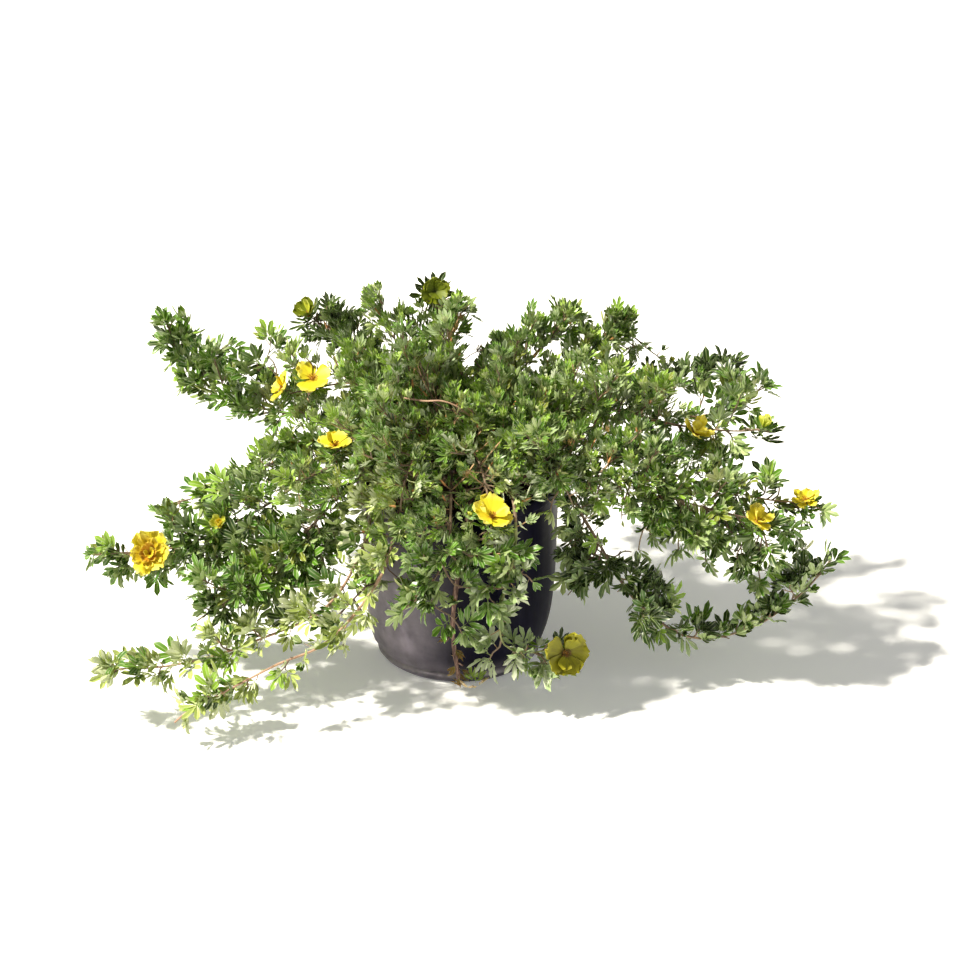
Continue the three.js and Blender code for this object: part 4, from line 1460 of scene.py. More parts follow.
# %% Make one mesh of leaves for each shoot
def copies(model, places, tones):
    """Corners, triangles and chart places of a model copied to every place."""
    points, forward, face, size = [np.array([place[i] for place in places]) for i in (0, 1, 2, 4)]
    right = np.cross(forward, face)
    turns = np.stack((right, forward, face), axis=1) * size[:, None, None]
    corners = np.einsum("vi,nij->nvj", model["corners"], turns) + points[:, None, :]
    count = len(model["corners"])
    faces = model["faces"][None] + (np.arange(len(places)) * count)[:, None, None]
    columns = np.array([tones.index(place[5]) for place in places])
    spots = np.broadcast_to(model["spots"], (len(places), *model["spots"].shape))
    chart = np.empty(spots.shape)
    chart[..., 0] = (columns[:, None, None] + 0.5 + spots[..., 0] * (1 - 2 * CELL_MARGIN)) / len(tones)
    chart[..., 1] = CELL_FOOT + CELL_REACH * spots[..., 1] + 0.5 * model["top"][None, :, None]
    return corners.reshape(-1, 3), faces.reshape(-1, 3), chart.reshape(-1, 2)


def placed_piece(name, found, models, tones, material, sharp=35):
    """One mesh of every model in its places, with its chart, and edges sharp over some degrees."""
    parts = []
    count = 0
    for kind, model in models.items():
        places = [place for place in found if place[3] == kind]
        if places:
            corners, faces, chart = copies(model, places, list(tones))
            parts.append((corners, faces + count, chart))
            count += len(corners)
    corners, faces, chart = [np.vstack(arrays) for arrays in zip(*parts)]
    mesh = bpy.data.meshes.new(name)
    mesh.vertices.add(len(corners))
    mesh.vertices.foreach_set("co", corners.ravel())
    mesh.loops.add(faces.size)
    mesh.loops.foreach_set("vertex_index", faces.ravel().astype(np.int32))
    mesh.polygons.add(len(faces))
    mesh.polygons.foreach_set("loop_start", np.arange(0, faces.size, 3, dtype=np.int32))
    mesh.polygons.foreach_set("use_smooth", np.ones(len(faces), bool))
    mesh.update(calc_edges=True)
    mesh.uv_layers.new(name="OFBake").data.foreach_set("uv", chart.ravel())
    mesh.materials.append(material)
    mesh.validate()
    mesh.set_sharp_from_angle(angle=math.radians(sharp))
    piece = bpy.data.objects.new(name, mesh)
    scene.collection.objects.link(piece)
    return piece


# %% [markdown]
# Some leaves have withered: a few on the dead shoot, and a curled tuft at its foot on the ground.

# %% Withered leaves on the dead shoot
dead_line = shoot_line(*DRY_SHOOT)
# Where they stand on it, from 0 at its foot to 1 at its tip
WITHERED = [0.56, 0.63, 0.7, 0.78, 0.84, 0.88, 0.91, 0.93, 0.95, 0.96]
FOOT_TUFT = 9
withered = []
for i, share in enumerate(WITHERED):
    outward = unit(level(i * GOLDEN_ANGLE + 2.2) + 0.3 * FRONT_SIDE)
    kind = grower.choice(["tip", "young", "needle"])
    spot = dead_line.at(share) + outward * 1.5 * MM
    place_part(withered, spot, unit(outward - 0.9 * UP), outward, kind, grower.uniform(0.7, 1.0), "dried")
tuft = dead_line.at(1) + np.array((12, -6, 4)) * MM
for i in range(FOOT_TUFT):
    outward = level(i * GOLDEN_ANGLE)
    spot = tuft + outward * grower.uniform(1, 8) * MM
    forward = unit(outward + UP * grower.uniform(0.2, 1.2))
    kind = grower.choice(["needle", "tip", "hollow"])
    tone = "dried" if i % 3 else "lime"
    place_part(withered, spot, forward, UP + 0.1 * outward, kind, grower.uniform(0.6, 0.9), tone)

# %% Withered tufts in the mound: place in the picture (pixels) and depth (mm)
WITHERED_TUFTS = [
    ((448, 340), 32), ((453, 330), 34), ((458, 321), 38), ((463, 311), 48), ((420, 366), 16),
    ((476, 353), 50), ((492, 452), -70), ((464, 478), -80), ((566, 446), -48), ((604, 432), -54),
]
WITHERED_LEAVES = 3
in_the_mound = []
for spot, depth in WITHERED_TUFTS:
    foot = point_behind(spot, depth * MM)
    for i in range(WITHERED_LEAVES):
        outward = level(i * GOLDEN_ANGLE + spot[0])
        forward = unit(UP + 0.5 * outward + (0.4, -0.3, 0))
        size = grower.uniform(0.7, 1.0)
        place_part(in_the_mound, foot, forward, outward + TO_LIGHT, "tip", size, "dried")

# %% The leaves of every shoot
for name, (_, _, mass, _) in SHOOTS.items():
    found = grown[name][1] + (withered if name == "front_spray" else [])
    found += in_the_mound if name == "mound_front" else []
    piece = placed_piece("foliage_" + name, found, LEAVES, TONES, leaf_tissue)
    finish_piece(piece, "foliage_" + name, "leaf", "leaves_" + mass)

# %% [markdown]
# ## Stems
#
# Each shoot is a tapering tube that swells a little at its joints, and its twigs are thin tubes that
# start inside it. A curve with a round bevel and a radius at every point makes many at once, and is
# then turned into a mesh. The mesh has the corners of all the caps first and then the rings in order,
# so each corner gets its place in a chart: the column of its tone, and the real length along the
# stem. After that the caps are welded to their rings.

# %% Tubes from bevelled curves
CHART_LENGTH = 0.5
# Two colours of each tone, which mottle the bark
STEM_TONES = {
    "old": ("#4c3a30", "#7c6858"),
    "brown": ("#5e4a3a", "#8c765c"),
    "tan": ("#94714f", "#b8966c"),
    "stipule": ("#b5703a", "#dca868"),
    "green": ("#6f7a40", "#989c64"),
    "pink": ("#94705c", "#bd9c80"),
    "bare": ("#3a2a24", "#6a5248"),
}


def tubes_mesh(name, tubes, sides, material):
    """One mesh of round tubes, each with its points, the radius at each of them and its tone."""
    curve = bpy.data.curves.new(name, "CURVE")
    curve.dimensions = "3D"
    curve.bevel_depth = 1.0
    curve.bevel_resolution = (sides - 4) // 2
    curve.use_fill_caps = True
    rings, caps = [], []
    tones = list(STEM_TONES)
    across_column = 0.5 + 0.3 * np.cos(2 * math.pi * np.arange(sides) / sides)
    for points, radii, tone in tubes:
        spline = curve.splines.new("POLY")
        spline.points.add(len(points) - 1)
        spline.points.foreach_set("co", np.column_stack((points, np.ones(len(points)))).ravel())
        spline.points.foreach_set("radius", radii)
        gaps = np.linalg.norm(np.diff(points, axis=0), axis=1)
        along = np.concatenate(((0,), np.cumsum(gaps))) / CHART_LENGTH
        columns = np.tile((tones.index(tone) + across_column) / len(tones), len(points))
        spots = np.column_stack((columns, np.repeat(along, sides)))
        rings.append(spots)
        caps = [spots[-sides:], spots[:sides]] + caps
    made = bpy.data.objects.new(name, curve)
    scene.collection.objects.link(made)
    select_only(made)
    bpy.ops.object.convert(target="MESH")
    piece = bpy.context.object
    chart = np.vstack(caps + rings)
    mesh = piece.data
    if len(chart) != len(mesh.vertices):
        raise ValueError("the tubes have other corners than their chart")
    while mesh.uv_layers:
        mesh.uv_layers.remove(mesh.uv_layers[0])
    corner_of = np.empty(len(mesh.loops), dtype=np.int32)
    mesh.loops.foreach_get("vertex_index", corner_of)
    mesh.uv_layers.new(name="OFBake").data.foreach_set("uv", chart[corner_of].ravel())
    mesh.materials.clear()
    mesh.materials.append(material)
    edit(piece)
    bpy.ops.mesh.select_all(action="SELECT")
    bpy.ops.mesh.remove_doubles(threshold=0.001 * MM)
    close_edit()
    mesh.shade_smooth()
    mesh.set_sharp_from_angle(angle=math.radians(60))
    return piece


# %% [markdown]
# Young bark is thin and smooth with silky hairs, tan to brown, with papery orange-brown stipules at
# the joints. The hairs give it a dull sheen and no gloss. Its mottling is a few millimetres long.

# %% Young bark from the chart
BARK_MOTTLE = 5 * MM
young_bark, tree = new_material("silky_young_bark")
chart = add_node(tree, "UVMap", uv_map="OFBake")
split = add_node(tree, "SeparateXYZ", {"Vector": chart})
stretched = add_node(tree, "Mapping", {
    "Vector": chart, "Scale": (2 * len(STEM_TONES), CHART_LENGTH / BARK_MOTTLE, 1),
})
mottle = add_node(tree, "TexNoise", {"Vector": stretched, "Scale": 1, "Detail": 4, "Roughness": 0.6})
spread = add_node(tree, "ValToRGB", {"Fac": mottle}, [(0.34, 0.0), (0.66, 1.0)])
light_bark, dark_bark = [
    add_node(tree, "ValToRGB", {"Fac": split.outputs["X"]}, tone_stops(STEM_TONES, which), steps=True)
    for which in (1, 0)
]
bark_colour = add_node(tree, "Mix", {"Factor": spread, 6: dark_bark, 7: light_bark}, data_type="RGBA")
surface = add_node(tree, "BsdfPrincipled", {
    "Base Color": bark_colour, "Roughness": 0.66, "IOR": 1.45, "Sheen Weight": 0.2,
    "Normal": add_node(tree, "Bump", {"Strength": 0.4, "Distance": 0.2 * MM, "Height": mottle}),
})
add_node(tree, "OutputMaterial", {"Surface": surface})
print("bark tones", list(STEM_TONES))

# %% [markdown]
# A few twigs have lost their leaves and cross the pot's bare wall on the left. The stems of one
# shoot are brown at the foot, and from some way up they have the shoot's own tone.

# %% One mesh of stems for each shoot
STEM_STEP = 5 * MM
SHOOT_TONES = {
    "left_low_short": "pink", "left_low_long": "pink", "front_right_flower": "green",
    "right_flower": "tan",
}
# Points in millimetres, first and last radius
BARE_TWIGS = {
    "left_low_long": [
        ([(-78, -84, 124), (-74, -92, 108), (-88, -96, 94), (-98, -96, 82)], 1.1, 0.9),
        ([(-86, -95, 96), (-80, -98, 88), (-79, -98, 80)], 0.9, 0.8),
        ([(-74, -93, 107), (-66, -96, 112), (-60, -96, 124)], 0.8, 0.7),
    ],
    "left_low_short": [([(-66, -92, 140), (-56, -98, 124), (-42, -102, 112), (-30, -104, 104)], 0.9, 0.7)],
}
# The shoot whose piece holds the twigs that show on the mound, and from where a shoot has its own tone
SHOWN_ON = "mound_front"
COLOURED_FROM = 0.42
# A stem's radius at its foot and tip, how much it swells at a joint, and joints to a station
FOOT_RADIUS = 0.8 * STEM_BASE_RADIUS
TIP_RADIUS = 0.7 * STEM_TIP_RADIUS
SWELLING = 0.12
JOINTS = 1.7
STALK_RADII = (0.6 * MM, 0.7 * MM)
STEM_SIDES = 8
TWIG_SIDES = 4
for name, line in lines.items():
    shares = np.linspace(0, 1, int(line.length / STEM_STEP))
    taper = FOOT_RADIUS + (TIP_RADIUS - FOOT_RADIUS) * shares**0.7
    widths = taper * (1 + SWELLING * np.sin(shares * len(shares) * JOINTS + len(name)))
    joint = int(COLOURED_FROM * len(shares))
    main = tubes_mesh(name, [
        (line.at(shares[:joint]), widths[:joint], "brown"),
        (line.at(shares[joint - 1:]), widths[joint - 1:], SHOOT_TONES.get(name, "brown")),
    ], STEM_SIDES, young_bark)
    small = list(grown[name][0])
    if name == SHOWN_ON:
        for (points, _, _), (_, _, radius, tone) in zip(shown_lines, SHOWN_TWIGS):
            small.append(tube(points, radius * MM, 0.8 * radius * MM, tone))
    for points, first, last in BARE_TWIGS.get(name, []):
        small.append(tube(np.array(points) * MM, first * MM, last * MM, "bare"))
    for flower, (foot, head, facing) in heads.items():
        if FLOWERS[flower][0] == name:
            small.append(tube((foot, (foot + head) / 2, head), *STALK_RADII, "green"))
    twigs = tubes_mesh(name + "_twigs", small, TWIG_SIDES, young_bark)
    select_only(main)
    twigs.select_set(True)
    bpy.ops.object.join()
    finish_piece(main, "shoot_" + name, "young_bark", "stem_" + name)

# %% [markdown]
# ## Petals
#
# A petal is a thin obovate sheet, narrow where it joins, broadest beyond its middle and a little
# notched at the tip, with a gently ruffled edge. It starts as a grid whose corners are moved to that
# outline, and Solidify gives it its thickness. Petals come wavy, cupped, frilly and narrow.

# %% Model the petals
PETAL_COLUMNS = 6
PETAL_ROWS = 7
PETAL_OUTLINE = ([0, 0.15, 0.35, 0.6, 0.8, 0.93, 1], [0.12, 0.24, 0.54, 0.9, 1.0, 0.86, 0.5])
PETAL_THICKNESS = 0.018


def petal(wide, notch, cup, ruffle, phase):
    """A petal along +Y, of length one from the flower's middle, facing +Z."""
    sheet = start_with(
        bpy.ops.mesh.primitive_grid_add, x_subdivisions=PETAL_COLUMNS, y_subdivisions=PETAL_ROWS, size=1
    )
    flat = corner_array(sheet)
    sideways, along = 2 * flat[:, 0], flat[:, 1] + 0.5
    half = 0.5 * wide * np.interp(along, *PETAL_OUTLINE)
    reach = along - 0.14 * sideways**2 * along**3 - notch * np.exp(-((sideways / 0.24) ** 2)) * along**6
    waves = np.sin(4.2 * sideways + phase) + 0.6 * np.sin(7.3 * sideways + 2 * phase)
    lift = cup * reach**1.8 + 0.1 * sideways**2 * along + ruffle * along**2.5 * waves
    lift -= 0.05 * np.exp(-((sideways / 0.2) ** 2)) * along
    shaped = np.column_stack((sideways * half, reach, lift))
    set_corners(sheet, shaped)
    thick = sheet.modifiers.new("thickness", "SOLIDIFY")
    thick.thickness = PETAL_THICKNESS
    thick.offset = 0
    apply_modifiers(sheet)
    to_triangles(sheet)
    model = read_model(sheet)
    nearest = np.argmin(np.linalg.norm(model["corners"][:, None] - shaped[None], axis=2), axis=1)
    at = nearest[model["faces"]]
    return {**model, "spots": np.stack((sideways[at] / 2, along[at]), axis=2)}


FILAMENT = 3.6 * MM
filament = small_model(
    bpy.ops.mesh.primitive_cone_add, 0.0, 0.5, vertices=3, radius1=0.16 * MM, radius2=0.1 * MM,
    depth=FILAMENT, location=(0, FILAMENT / 2, 0), rotation=(-math.pi / 2, 0, 0),
)
anther = small_model(
    bpy.ops.mesh.primitive_uv_sphere_add, 0.8, 1.0, segments=4, ring_count=3, radius=1,
    location=(0, FILAMENT, 0), scale=(0.55 * MM, 0.7 * MM, 0.4 * MM),
)
FLOWER_PARTS = {
    "wavy": petal(0.9, 0.08, 0.14, 0.08, 1.7),
    "cupped": petal(0.9, 0.07, 0.34, 0.03, 2.6),
    "frilly": petal(0.8, 0.12, 0.2, 0.12, 0.9),
    "narrow": petal(0.6, 0.06, 0.26, 0.09, 2.1),
    "stamen": put_together([(filament, Matrix.Identity(4)), (anther, Matrix.Identity(4))]),
    "disc": small_model(
        bpy.ops.mesh.primitive_uv_sphere_add, 0.1, 0.9, segments=10, ring_count=6, radius=1,
        scale=(2.6 * MM, 2.6 * MM, 1.7 * MM),
    ),
}
print("flower parts", {name: len(model["faces"]) for name, model in FLOWER_PARTS.items()})

# %% [markdown]
# Petals are thin enough to glow: sunlight comes through them. They are orange at the foot, clear
# yellow over most of their length and paler at the edge, with fine veins that fan out from the foot.
# Each flower in the picture differs a little, and the chart has a column for each kind. The olive,
# green and moss tones are painted shade: the same yellow petals, darkened and greened for the
# flowers that stand in shade.

# %% Petal tissue
# Foot, middle and edge of each tone; olive, green and moss are painted shade on yellow petals
PETAL_TONES = {
    "yellow": ("#cba41a", "#f1e634", "#f7f07a"),
    "gold": ("#b4741a", "#e8d42c", "#f3ea66"),
    "orange": ("#94500e", "#d29c22", "#ecd84c"),
    "olive": ("#4c340a", "#8e8c0a", "#b0ac24"),
    "lemon": ("#a8a428", "#d9de48", "#e8ec80"),
    "green": ("#4c4a0e", "#9c9a10", "#bcb42a"),
    "moss": ("#46500e", "#7e8c10", "#98a226"),
    "stamen": ("#d9b03c", "#c98e1c", "#a8651a"),
    "disc": ("#7a4e14", "#b8841e", "#cfa23a"),
    "brown": ("#4a2e18", "#7c5028", "#a07444"),
}
VEINS = 22
petal_tissue, tree = new_material("thin_petal_tissue")
column, from_rib, along, side = chart_reader(tree, len(PETAL_TONES))
foot_colour, middle_colour, edge_colour = [
    add_node(tree, "ValToRGB", {"Fac": column}, tone_stops(PETAL_TONES, which), steps=True)
    for which in range(3)
]
out = add_node(tree, "ValToRGB", {"Fac": along}, [(0.1, 0.0), (0.36, 1.0)])
body = add_node(tree, "Mix", {"Factor": out, 6: foot_colour, 7: middle_colour}, data_type="RGBA")
to_edge = add_node(tree, "ValToRGB", {"Fac": along}, [(0.66, 0.0), (0.98, 1.0)])
plain = add_node(tree, "Mix", {"Factor": to_edge, 6: body, 7: edge_colour}, data_type="RGBA")
fan = add_node(tree, "CombineXYZ", {
    "X": add_node(tree, "Math", {0: column, 1: len(PETAL_TONES) * VEINS}, operation="MULTIPLY"),
    "Y": add_node(tree, "Math", {0: along, 1: 2.4}, operation="MULTIPLY"),
})
veins = add_node(tree, "TexNoise", {"Vector": fan, "Scale": 1, "Detail": 2, "Roughness": 0.5})
veined = add_node(tree, "ValToRGB", {"Fac": veins}, [(0.36, 0.28), (0.58, 0.0)])
petal_colour = add_node(tree, "Mix", {"Factor": veined, 6: plain, 7: foot_colour}, data_type="RGBA")
matt = add_node(tree, "BsdfPrincipled", {
    "Base Color": petal_colour, "Roughness": 0.5, "IOR": 1.42, "Sheen Weight": 0.04,
    "Normal": add_node(tree, "Bump", {"Strength": 0.35, "Distance": 0.25 * MM, "Height": veins}),
})
lit_through = add_node(tree, "BsdfTranslucent", {"Color": petal_colour})
both = add_node(tree, "MixShader", {0: 0.34, 1: matt, 2: lit_through})
add_node(tree, "OutputMaterial", {"Surface": both})
print("petal tones", list(PETAL_TONES))

# %% [markdown]
# ## The flowers
#
# Each flower gets its own look from the picture: how many petals in each ring, how far they open,
# their kind and tone, how many stamens stand inside them and how far the flower is turned. Under
# the petals sit five pointed sepals with five narrower bractlets between them.

# %% The look of every flower
# Rings of petals (count, kind, size as a share of the radius, rise in degrees, tone), then how many
# stamens, and how far the flower is turned (radians)
# The olive, green and moss petals of top, back_left and low_right are painted shade
LOOKS = {
    "top": ([(6, "wavy", 1.05, 12, "moss"), (4, "wavy", 0.8, 24, "moss")], 0, 0.3),
    "back_left": ([(5, "cupped", 1.0, 34, "moss"), (2, "narrow", 0.8, 60, "lemon")], 8, 1.1),
    "left_edge": ([(5, "wavy", 1.1, 14, "yellow"), (2, "narrow", 0.8, 34, "gold")], 14, 0.6),
    "left_high": ([(5, "wavy", 1.08, 8, "yellow"), (1, "wavy", 1.25, 2, "yellow")], 18, 0.25),
    "mound": ([(5, "wavy", 1.12, 14, "yellow"), (1, "cupped", 0.9, 40, "yellow")], 12, 0.9),
    "left": ([
        (6, "frilly", 1.12, 6, "yellow"), (7, "narrow", 0.95, 18, "gold"), (6, "narrow", 0.68, 30, "orange"),
        (6, "narrow", 0.44, 34, "gold"),
    ], 10, 0.1),
    "left_middle": ([(5, "narrow", 1.2, 34, "lemon"), (4, "narrow", 0.9, 56, "gold")], 10, 0.5),
    "front": ([(5, "wavy", 1.1, 6, "yellow"), (2, "frilly", 0.9, 30, "yellow")], 18, 1.2),
    "low_right": ([(5, "wavy", 1.08, 14, "olive"), (2, "frilly", 0.95, 26, "green")], 22, 0.55),
    "right_high": ([(4, "narrow", 1.2, 26, "yellow"), (4, "wavy", 0.95, 42, "yellow")], 12, 0.3),
    "right_bud": ([(5, "cupped", 1.1, 50, "lemon"), (4, "narrow", 1.0, 72, "lemon")], 0, 0.2),
    "right": ([(6, "narrow", 1.15, 8, "yellow"), (6, "frilly", 0.85, 24, "yellow")], 14, 0.8),
    "right_low": ([(5, "wavy", 1.05, 16, "yellow"), (4, "narrow", 0.95, 38, "yellow")], 14, 0.4),
}
print("petals", sum(ring[0] for look in LOOKS.values() for ring in look[0]))

# %% [markdown]
# Petals, stamens and sepals all stand in rings, so one function places them, each a little off by
# chance. Closed buds show beside three of the flowers.

# %% Rings of petals, and the places of buds
# Buds that show beside a flower, by their place in the picture (pixels)
BUDS = {"right_high": [(671, 361), (592, 386)], "front": [(469, 516)], "left_high": [(297, 381)]}
BUD_RADIUS = 4.6 * MM
BUD_AHEAD = 9 * MM
BUD_RISE = 62
TILT_CHANCE = 60


def ring(found, head, facing, count, kind, size, rise, tone, turn, jitter=0.0):
    """Places copies of one part in a ring round a flower's middle."""
    for i in range(count):
        angle = turn + 2 * math.pi * i / count + grower.uniform(-jitter, jitter)
        size_here = size * (1 + grower.uniform(-1, 1) * jitter)
        outward = around(facing, angle)
        tilt = math.radians(rise + grower.uniform(-TILT_CHANCE, TILT_CHANCE) * jitter)
        forward = unit(math.cos(tilt) * outward + math.sin(tilt) * facing)
        place_part(found, head, forward, facing - 0.01 * outward, kind, size_here, tone)


def bud_place(spot):
    """A point that shows at a place in the picture, a little before the nearest shoot there."""
    points = np.vstack([line.points for line in lines.values()])
    nearest = points[np.argmin(np.linalg.norm(in_picture(points) - spot, axis=1))]
    return point_behind(spot, nearest[1] - BUD_AHEAD)


# %% [markdown]
# Inside the petals stand two rings of stamens, the outer ones longer and leaning out, round a domed
# disc. Under them sits the calyx, in leaf tissue. It is seen where a flower turns its back.

# %% Put the flowers together
PETALS_ABOVE = 0.5 * MM
RING_STEP = 0.7 * MM
RING_TURN = 0.6
PETAL_CHANCE = 0.16
STAMENS_ABOVE = 1.2 * MM
# Size, rise (degrees) and further turn (radians) of the outer and the inner stamens
STAMEN_RINGS = [(1.1, 34, 0.0), (0.9, 58, 0.2)]
SEPAL_PARTS = {"sepal": leaflets["sepal"], "bractlet": leaflets["thin"], "cup": FLOWER_PARTS["disc"]}
SEPAL_SIZE = 0.6
BRACTLET_SIZE = 0.5
BUD_SEPAL_SIZE = 0.36
# How far the calyx opens in degrees, and its size, on open flowers and on the large bud
OPEN_CALYX = (18, 1.0)
CLOSED_CALYX = (48, 1.9)


def petals_of(name):
    """The petals, stamens and disc of one flower, and the petals of the buds beside it."""
    rings, stamens, turn = LOOKS[name]
    radius = FLOWERS[name][4] * MM
    foot, head, facing = heads[name]
    found = []
    for i, (count, kind, size, rise, tone) in enumerate(rings):
        lift = head + facing * (PETALS_ABOVE + RING_STEP * i)
        ring(found, lift, facing, count, kind, size * radius, rise, tone, turn + RING_TURN * i, PETAL_CHANCE)
    if stamens:
        top = head + facing * STAMENS_ABOVE
        tone = "brown" if name == "low_right" else "stamen"
        for count, (size, rise, further) in zip((stamens // 2, stamens - stamens // 2), STAMEN_RINGS):
            ring(found, top, facing, count, "stamen", size, rise, tone, turn + further, 0.12)
        place_part(found, top - facing * 0.6 * MM, across(facing)[0], facing, "disc", 1.0, "disc")
    for spot in BUDS.get(name, []):
        ring(found, bud_place(spot), facing, 4, "cupped", BUD_RADIUS, BUD_RISE, "lemon", turn, 0.1)
    return found


def calyx_of(name):
    """The sepals, bractlets and cup under one flower and under the buds beside it."""
    turn = LOOKS[name][2]
    foot, head, facing = heads[name]
    sideways = across(facing)[0]
    opening, bigger = CLOSED_CALYX if name == "right_bud" else OPEN_CALYX
    tone = "dried" if name in ("low_right", "front") else "full"
    under = head - facing * 0.4 * MM
    lower = under - facing * 0.5 * MM
    found = []
    ring(found, under, facing, 5, "sepal", SEPAL_SIZE * bigger, opening - 12, "full", turn + 0.3, 0.05)
    ring(found, lower, facing, 5, "bractlet", BRACTLET_SIZE * bigger, opening - 24, tone, turn + 0.93, 0.08)
    place_part(found, under - facing * 0.6 * MM, sideways, facing, "cup", 1.15, "full")
    for spot in BUDS.get(name, []):
        bud = bud_place(spot)
        place_part(found, bud, sideways, facing, "cup", 0.8, "full")
        ring(found, bud - 0.5 * MM * facing, facing, 5, "sepal", BUD_SEPAL_SIZE, 48, "full", turn, 0.05)
    return found


for name in LOOKS:
    petals = placed_piece("petals_" + name, petals_of(name), FLOWER_PARTS, PETAL_TONES, petal_tissue, 60)
    finish_piece(petals, "petals_" + name, "petal", "flower_" + name)
    calyx = placed_piece("calyx_" + name, calyx_of(name), SEPAL_PARTS, TONES, leaf_tissue)
    finish_piece(calyx, "calyx_" + name, "leaf", "flower_" + name)

# %% [markdown]
# ## Root ball
#
# The mix in the pot is bark, peat and a little grit, watered level and sagging to the wall. It is
# drawn up from a disc as the pot is, inside the same dents, and its top is closed with rings of
# faces that are roughened by up to a millimetre and a half.

# %% Draw up the root ball
SOIL_SIDES = 72
SOIL_PROFILE = [
    (66.8, 10.5), (70.9, 18), (75.4, 34), (78.4, 54), (80.4, 78), (81.4, 115), (81.8, 148.6),
    (80.6, 149.6),
]
SOIL_RINGS = 14
SOIL_FOOT_RADIUS = 60 * MM
SOIL_FOOT_HEIGHT = 2.7 * MM
SOIL_TOP_RADIUS = 80.6
SOIL_MIDDLE = 152
SOIL_SAG = 2.4
soil = start_with(
    bpy.ops.mesh.primitive_circle_add, vertices=SOIL_SIDES, radius=SOIL_FOOT_RADIUS, fill_type="NGON",
    location=(0, 0, SOIL_FOOT_HEIGHT),
)
bpy.ops.object.transform_apply(location=True, rotation=True, scale=True)
rings = []
for i in range(1, SOIL_RINGS):
    share = 1 - i / SOIL_RINGS
    rings.append((SOIL_TOP_RADIUS * share, SOIL_MIDDLE - SOIL_SAG * share**3))
draw_up(soil, SOIL_FOOT_RADIUS, SOIL_FOOT_HEIGHT, SOIL_PROFILE + rings)


def soil_height(x, y):
    """How far the top of the mix stands off its smooth shape, in metres."""
    rough = np.sin(x / 0.0031 + 2 * np.sin(y / 0.0052)) * np.sin(y / 0.0037 + 1.7 * np.sin(x / 0.0061))
    lumps = np.sin(x / 0.011 + 1) * np.sin(y / 0.013 + 2)
    return (0.7 * rough + 0.9 * lumps) * MM


corners = dent(corner_array(soil))
on_top = (corners[:, 2] > 149 * MM) & (np.hypot(corners[:, 0], corners[:, 1]) < 80 * MM)
corners[on_top, 2] += soil_height(corners[on_top, 0], corners[on_top, 1])
set_corners(soil, corners)
soil.data.shade_smooth()
print("root ball", len(soil.data.vertices), "vertices,", int(on_top.sum()), "of them roughened")

# %% [markdown]
# Damp peat is nearly black-brown and quite dull, with paler crumbs a millimetre or two across.

# %% Damp peat and crumbs
CRUMB = 1.6 * MM
peat, tree = new_material("damp_peat_mix")
place = add_node(tree, "TexCoord").outputs["Object"]
crumbs = add_node(tree, "TexVoronoi", {"Vector": place, "Scale": 1 / CRUMB})
shades = add_node(tree, "ValToRGB", {"Fac": crumbs.outputs["Color"]}, [
    (0.0, "#1c120c"), (0.45, "#33241a"), (0.8, "#4c3626"), (1.0, "#7a6248"),
])
bump = add_node(tree, "Bump", {
    "Strength": 0.8, "Distance": 0.8 * MM, "Height": crumbs.outputs["Distance"],
})
surface = add_node(tree, "BsdfPrincipled", {
    "Base Color": shades, "Roughness": 0.9, "Specular IOR Level": 0.25, "Normal": bump,
})
add_node(tree, "OutputMaterial", {"Surface": surface})
soil.data.materials.append(peat)
finish_piece(soil, "root_ball", "potting_mix", "soil")

# %% [markdown]
# Chips of pine bark and a few white grains of grit lie over the mix. One chip is a flattened block
# with its corners pulled about, and it is copied to some hundreds of seeded places.

# %% Bark chips on the mix
CHIPS = 560
CHIP_SIZE = 5.2 * MM
CHIPS_FROM = 21 * MM
CHIPS_TO = 80 * MM
GRIT_SHARE = 0.06
CHIP_TONES = {
    "dark": "#2c1c12", "red": "#5a3420", "brown": "#46301f", "tan": "#86643f", "grit": "#c9c2b4",
}
chip = small_model(bpy.ops.mesh.primitive_cube_add, 0.0, 1.0, size=1, scale=(0.45, 1.0, 0.16))
shaker = random.Random(7)
chip["corners"] = chip["corners"] * np.array([
    [shaker.uniform(0.6, 1.25) for _ in range(3)] for _ in chip["corners"]
])
chip_places = []
while len(chip_places) < CHIPS:
    reach = CHIPS_TO * math.sqrt(shaker.random())
    turn = shaker.uniform(0, 2 * math.pi)
    if reach < CHIPS_FROM:
        continue
    x, y = reach * math.cos(turn), reach * math.sin(turn)
    sag = SOIL_SAG * (reach / (SOIL_TOP_RADIUS * MM)) ** 3 * MM
    z = SOIL_MIDDLE * MM - sag + float(soil_height(x, y)) + shaker.uniform(0.0, 0.7) * MM
    tone = shaker.choice(["dark", "red", "brown", "brown", "tan", "dark"])
    size = shaker.uniform(0.45, 1.15) * CHIP_SIZE
    if shaker.random() < GRIT_SHARE:
        tone, size = "grit", 0.5 * CHIP_SIZE
    heading = shaker.uniform(0, 2 * math.pi)
    forward = unit(np.array((math.cos(heading), math.sin(heading), shaker.uniform(-0.25, 0.35))))
    place_part(chip_places, np.array((x, y, z)), forward, UP + 0.2 * forward, "chip", size, tone)
print("chips and grit", len(chip_places))

# %% [markdown]
# Composted pine bark is dull and flaky, from red-brown to nearly black, and the grit is pale.

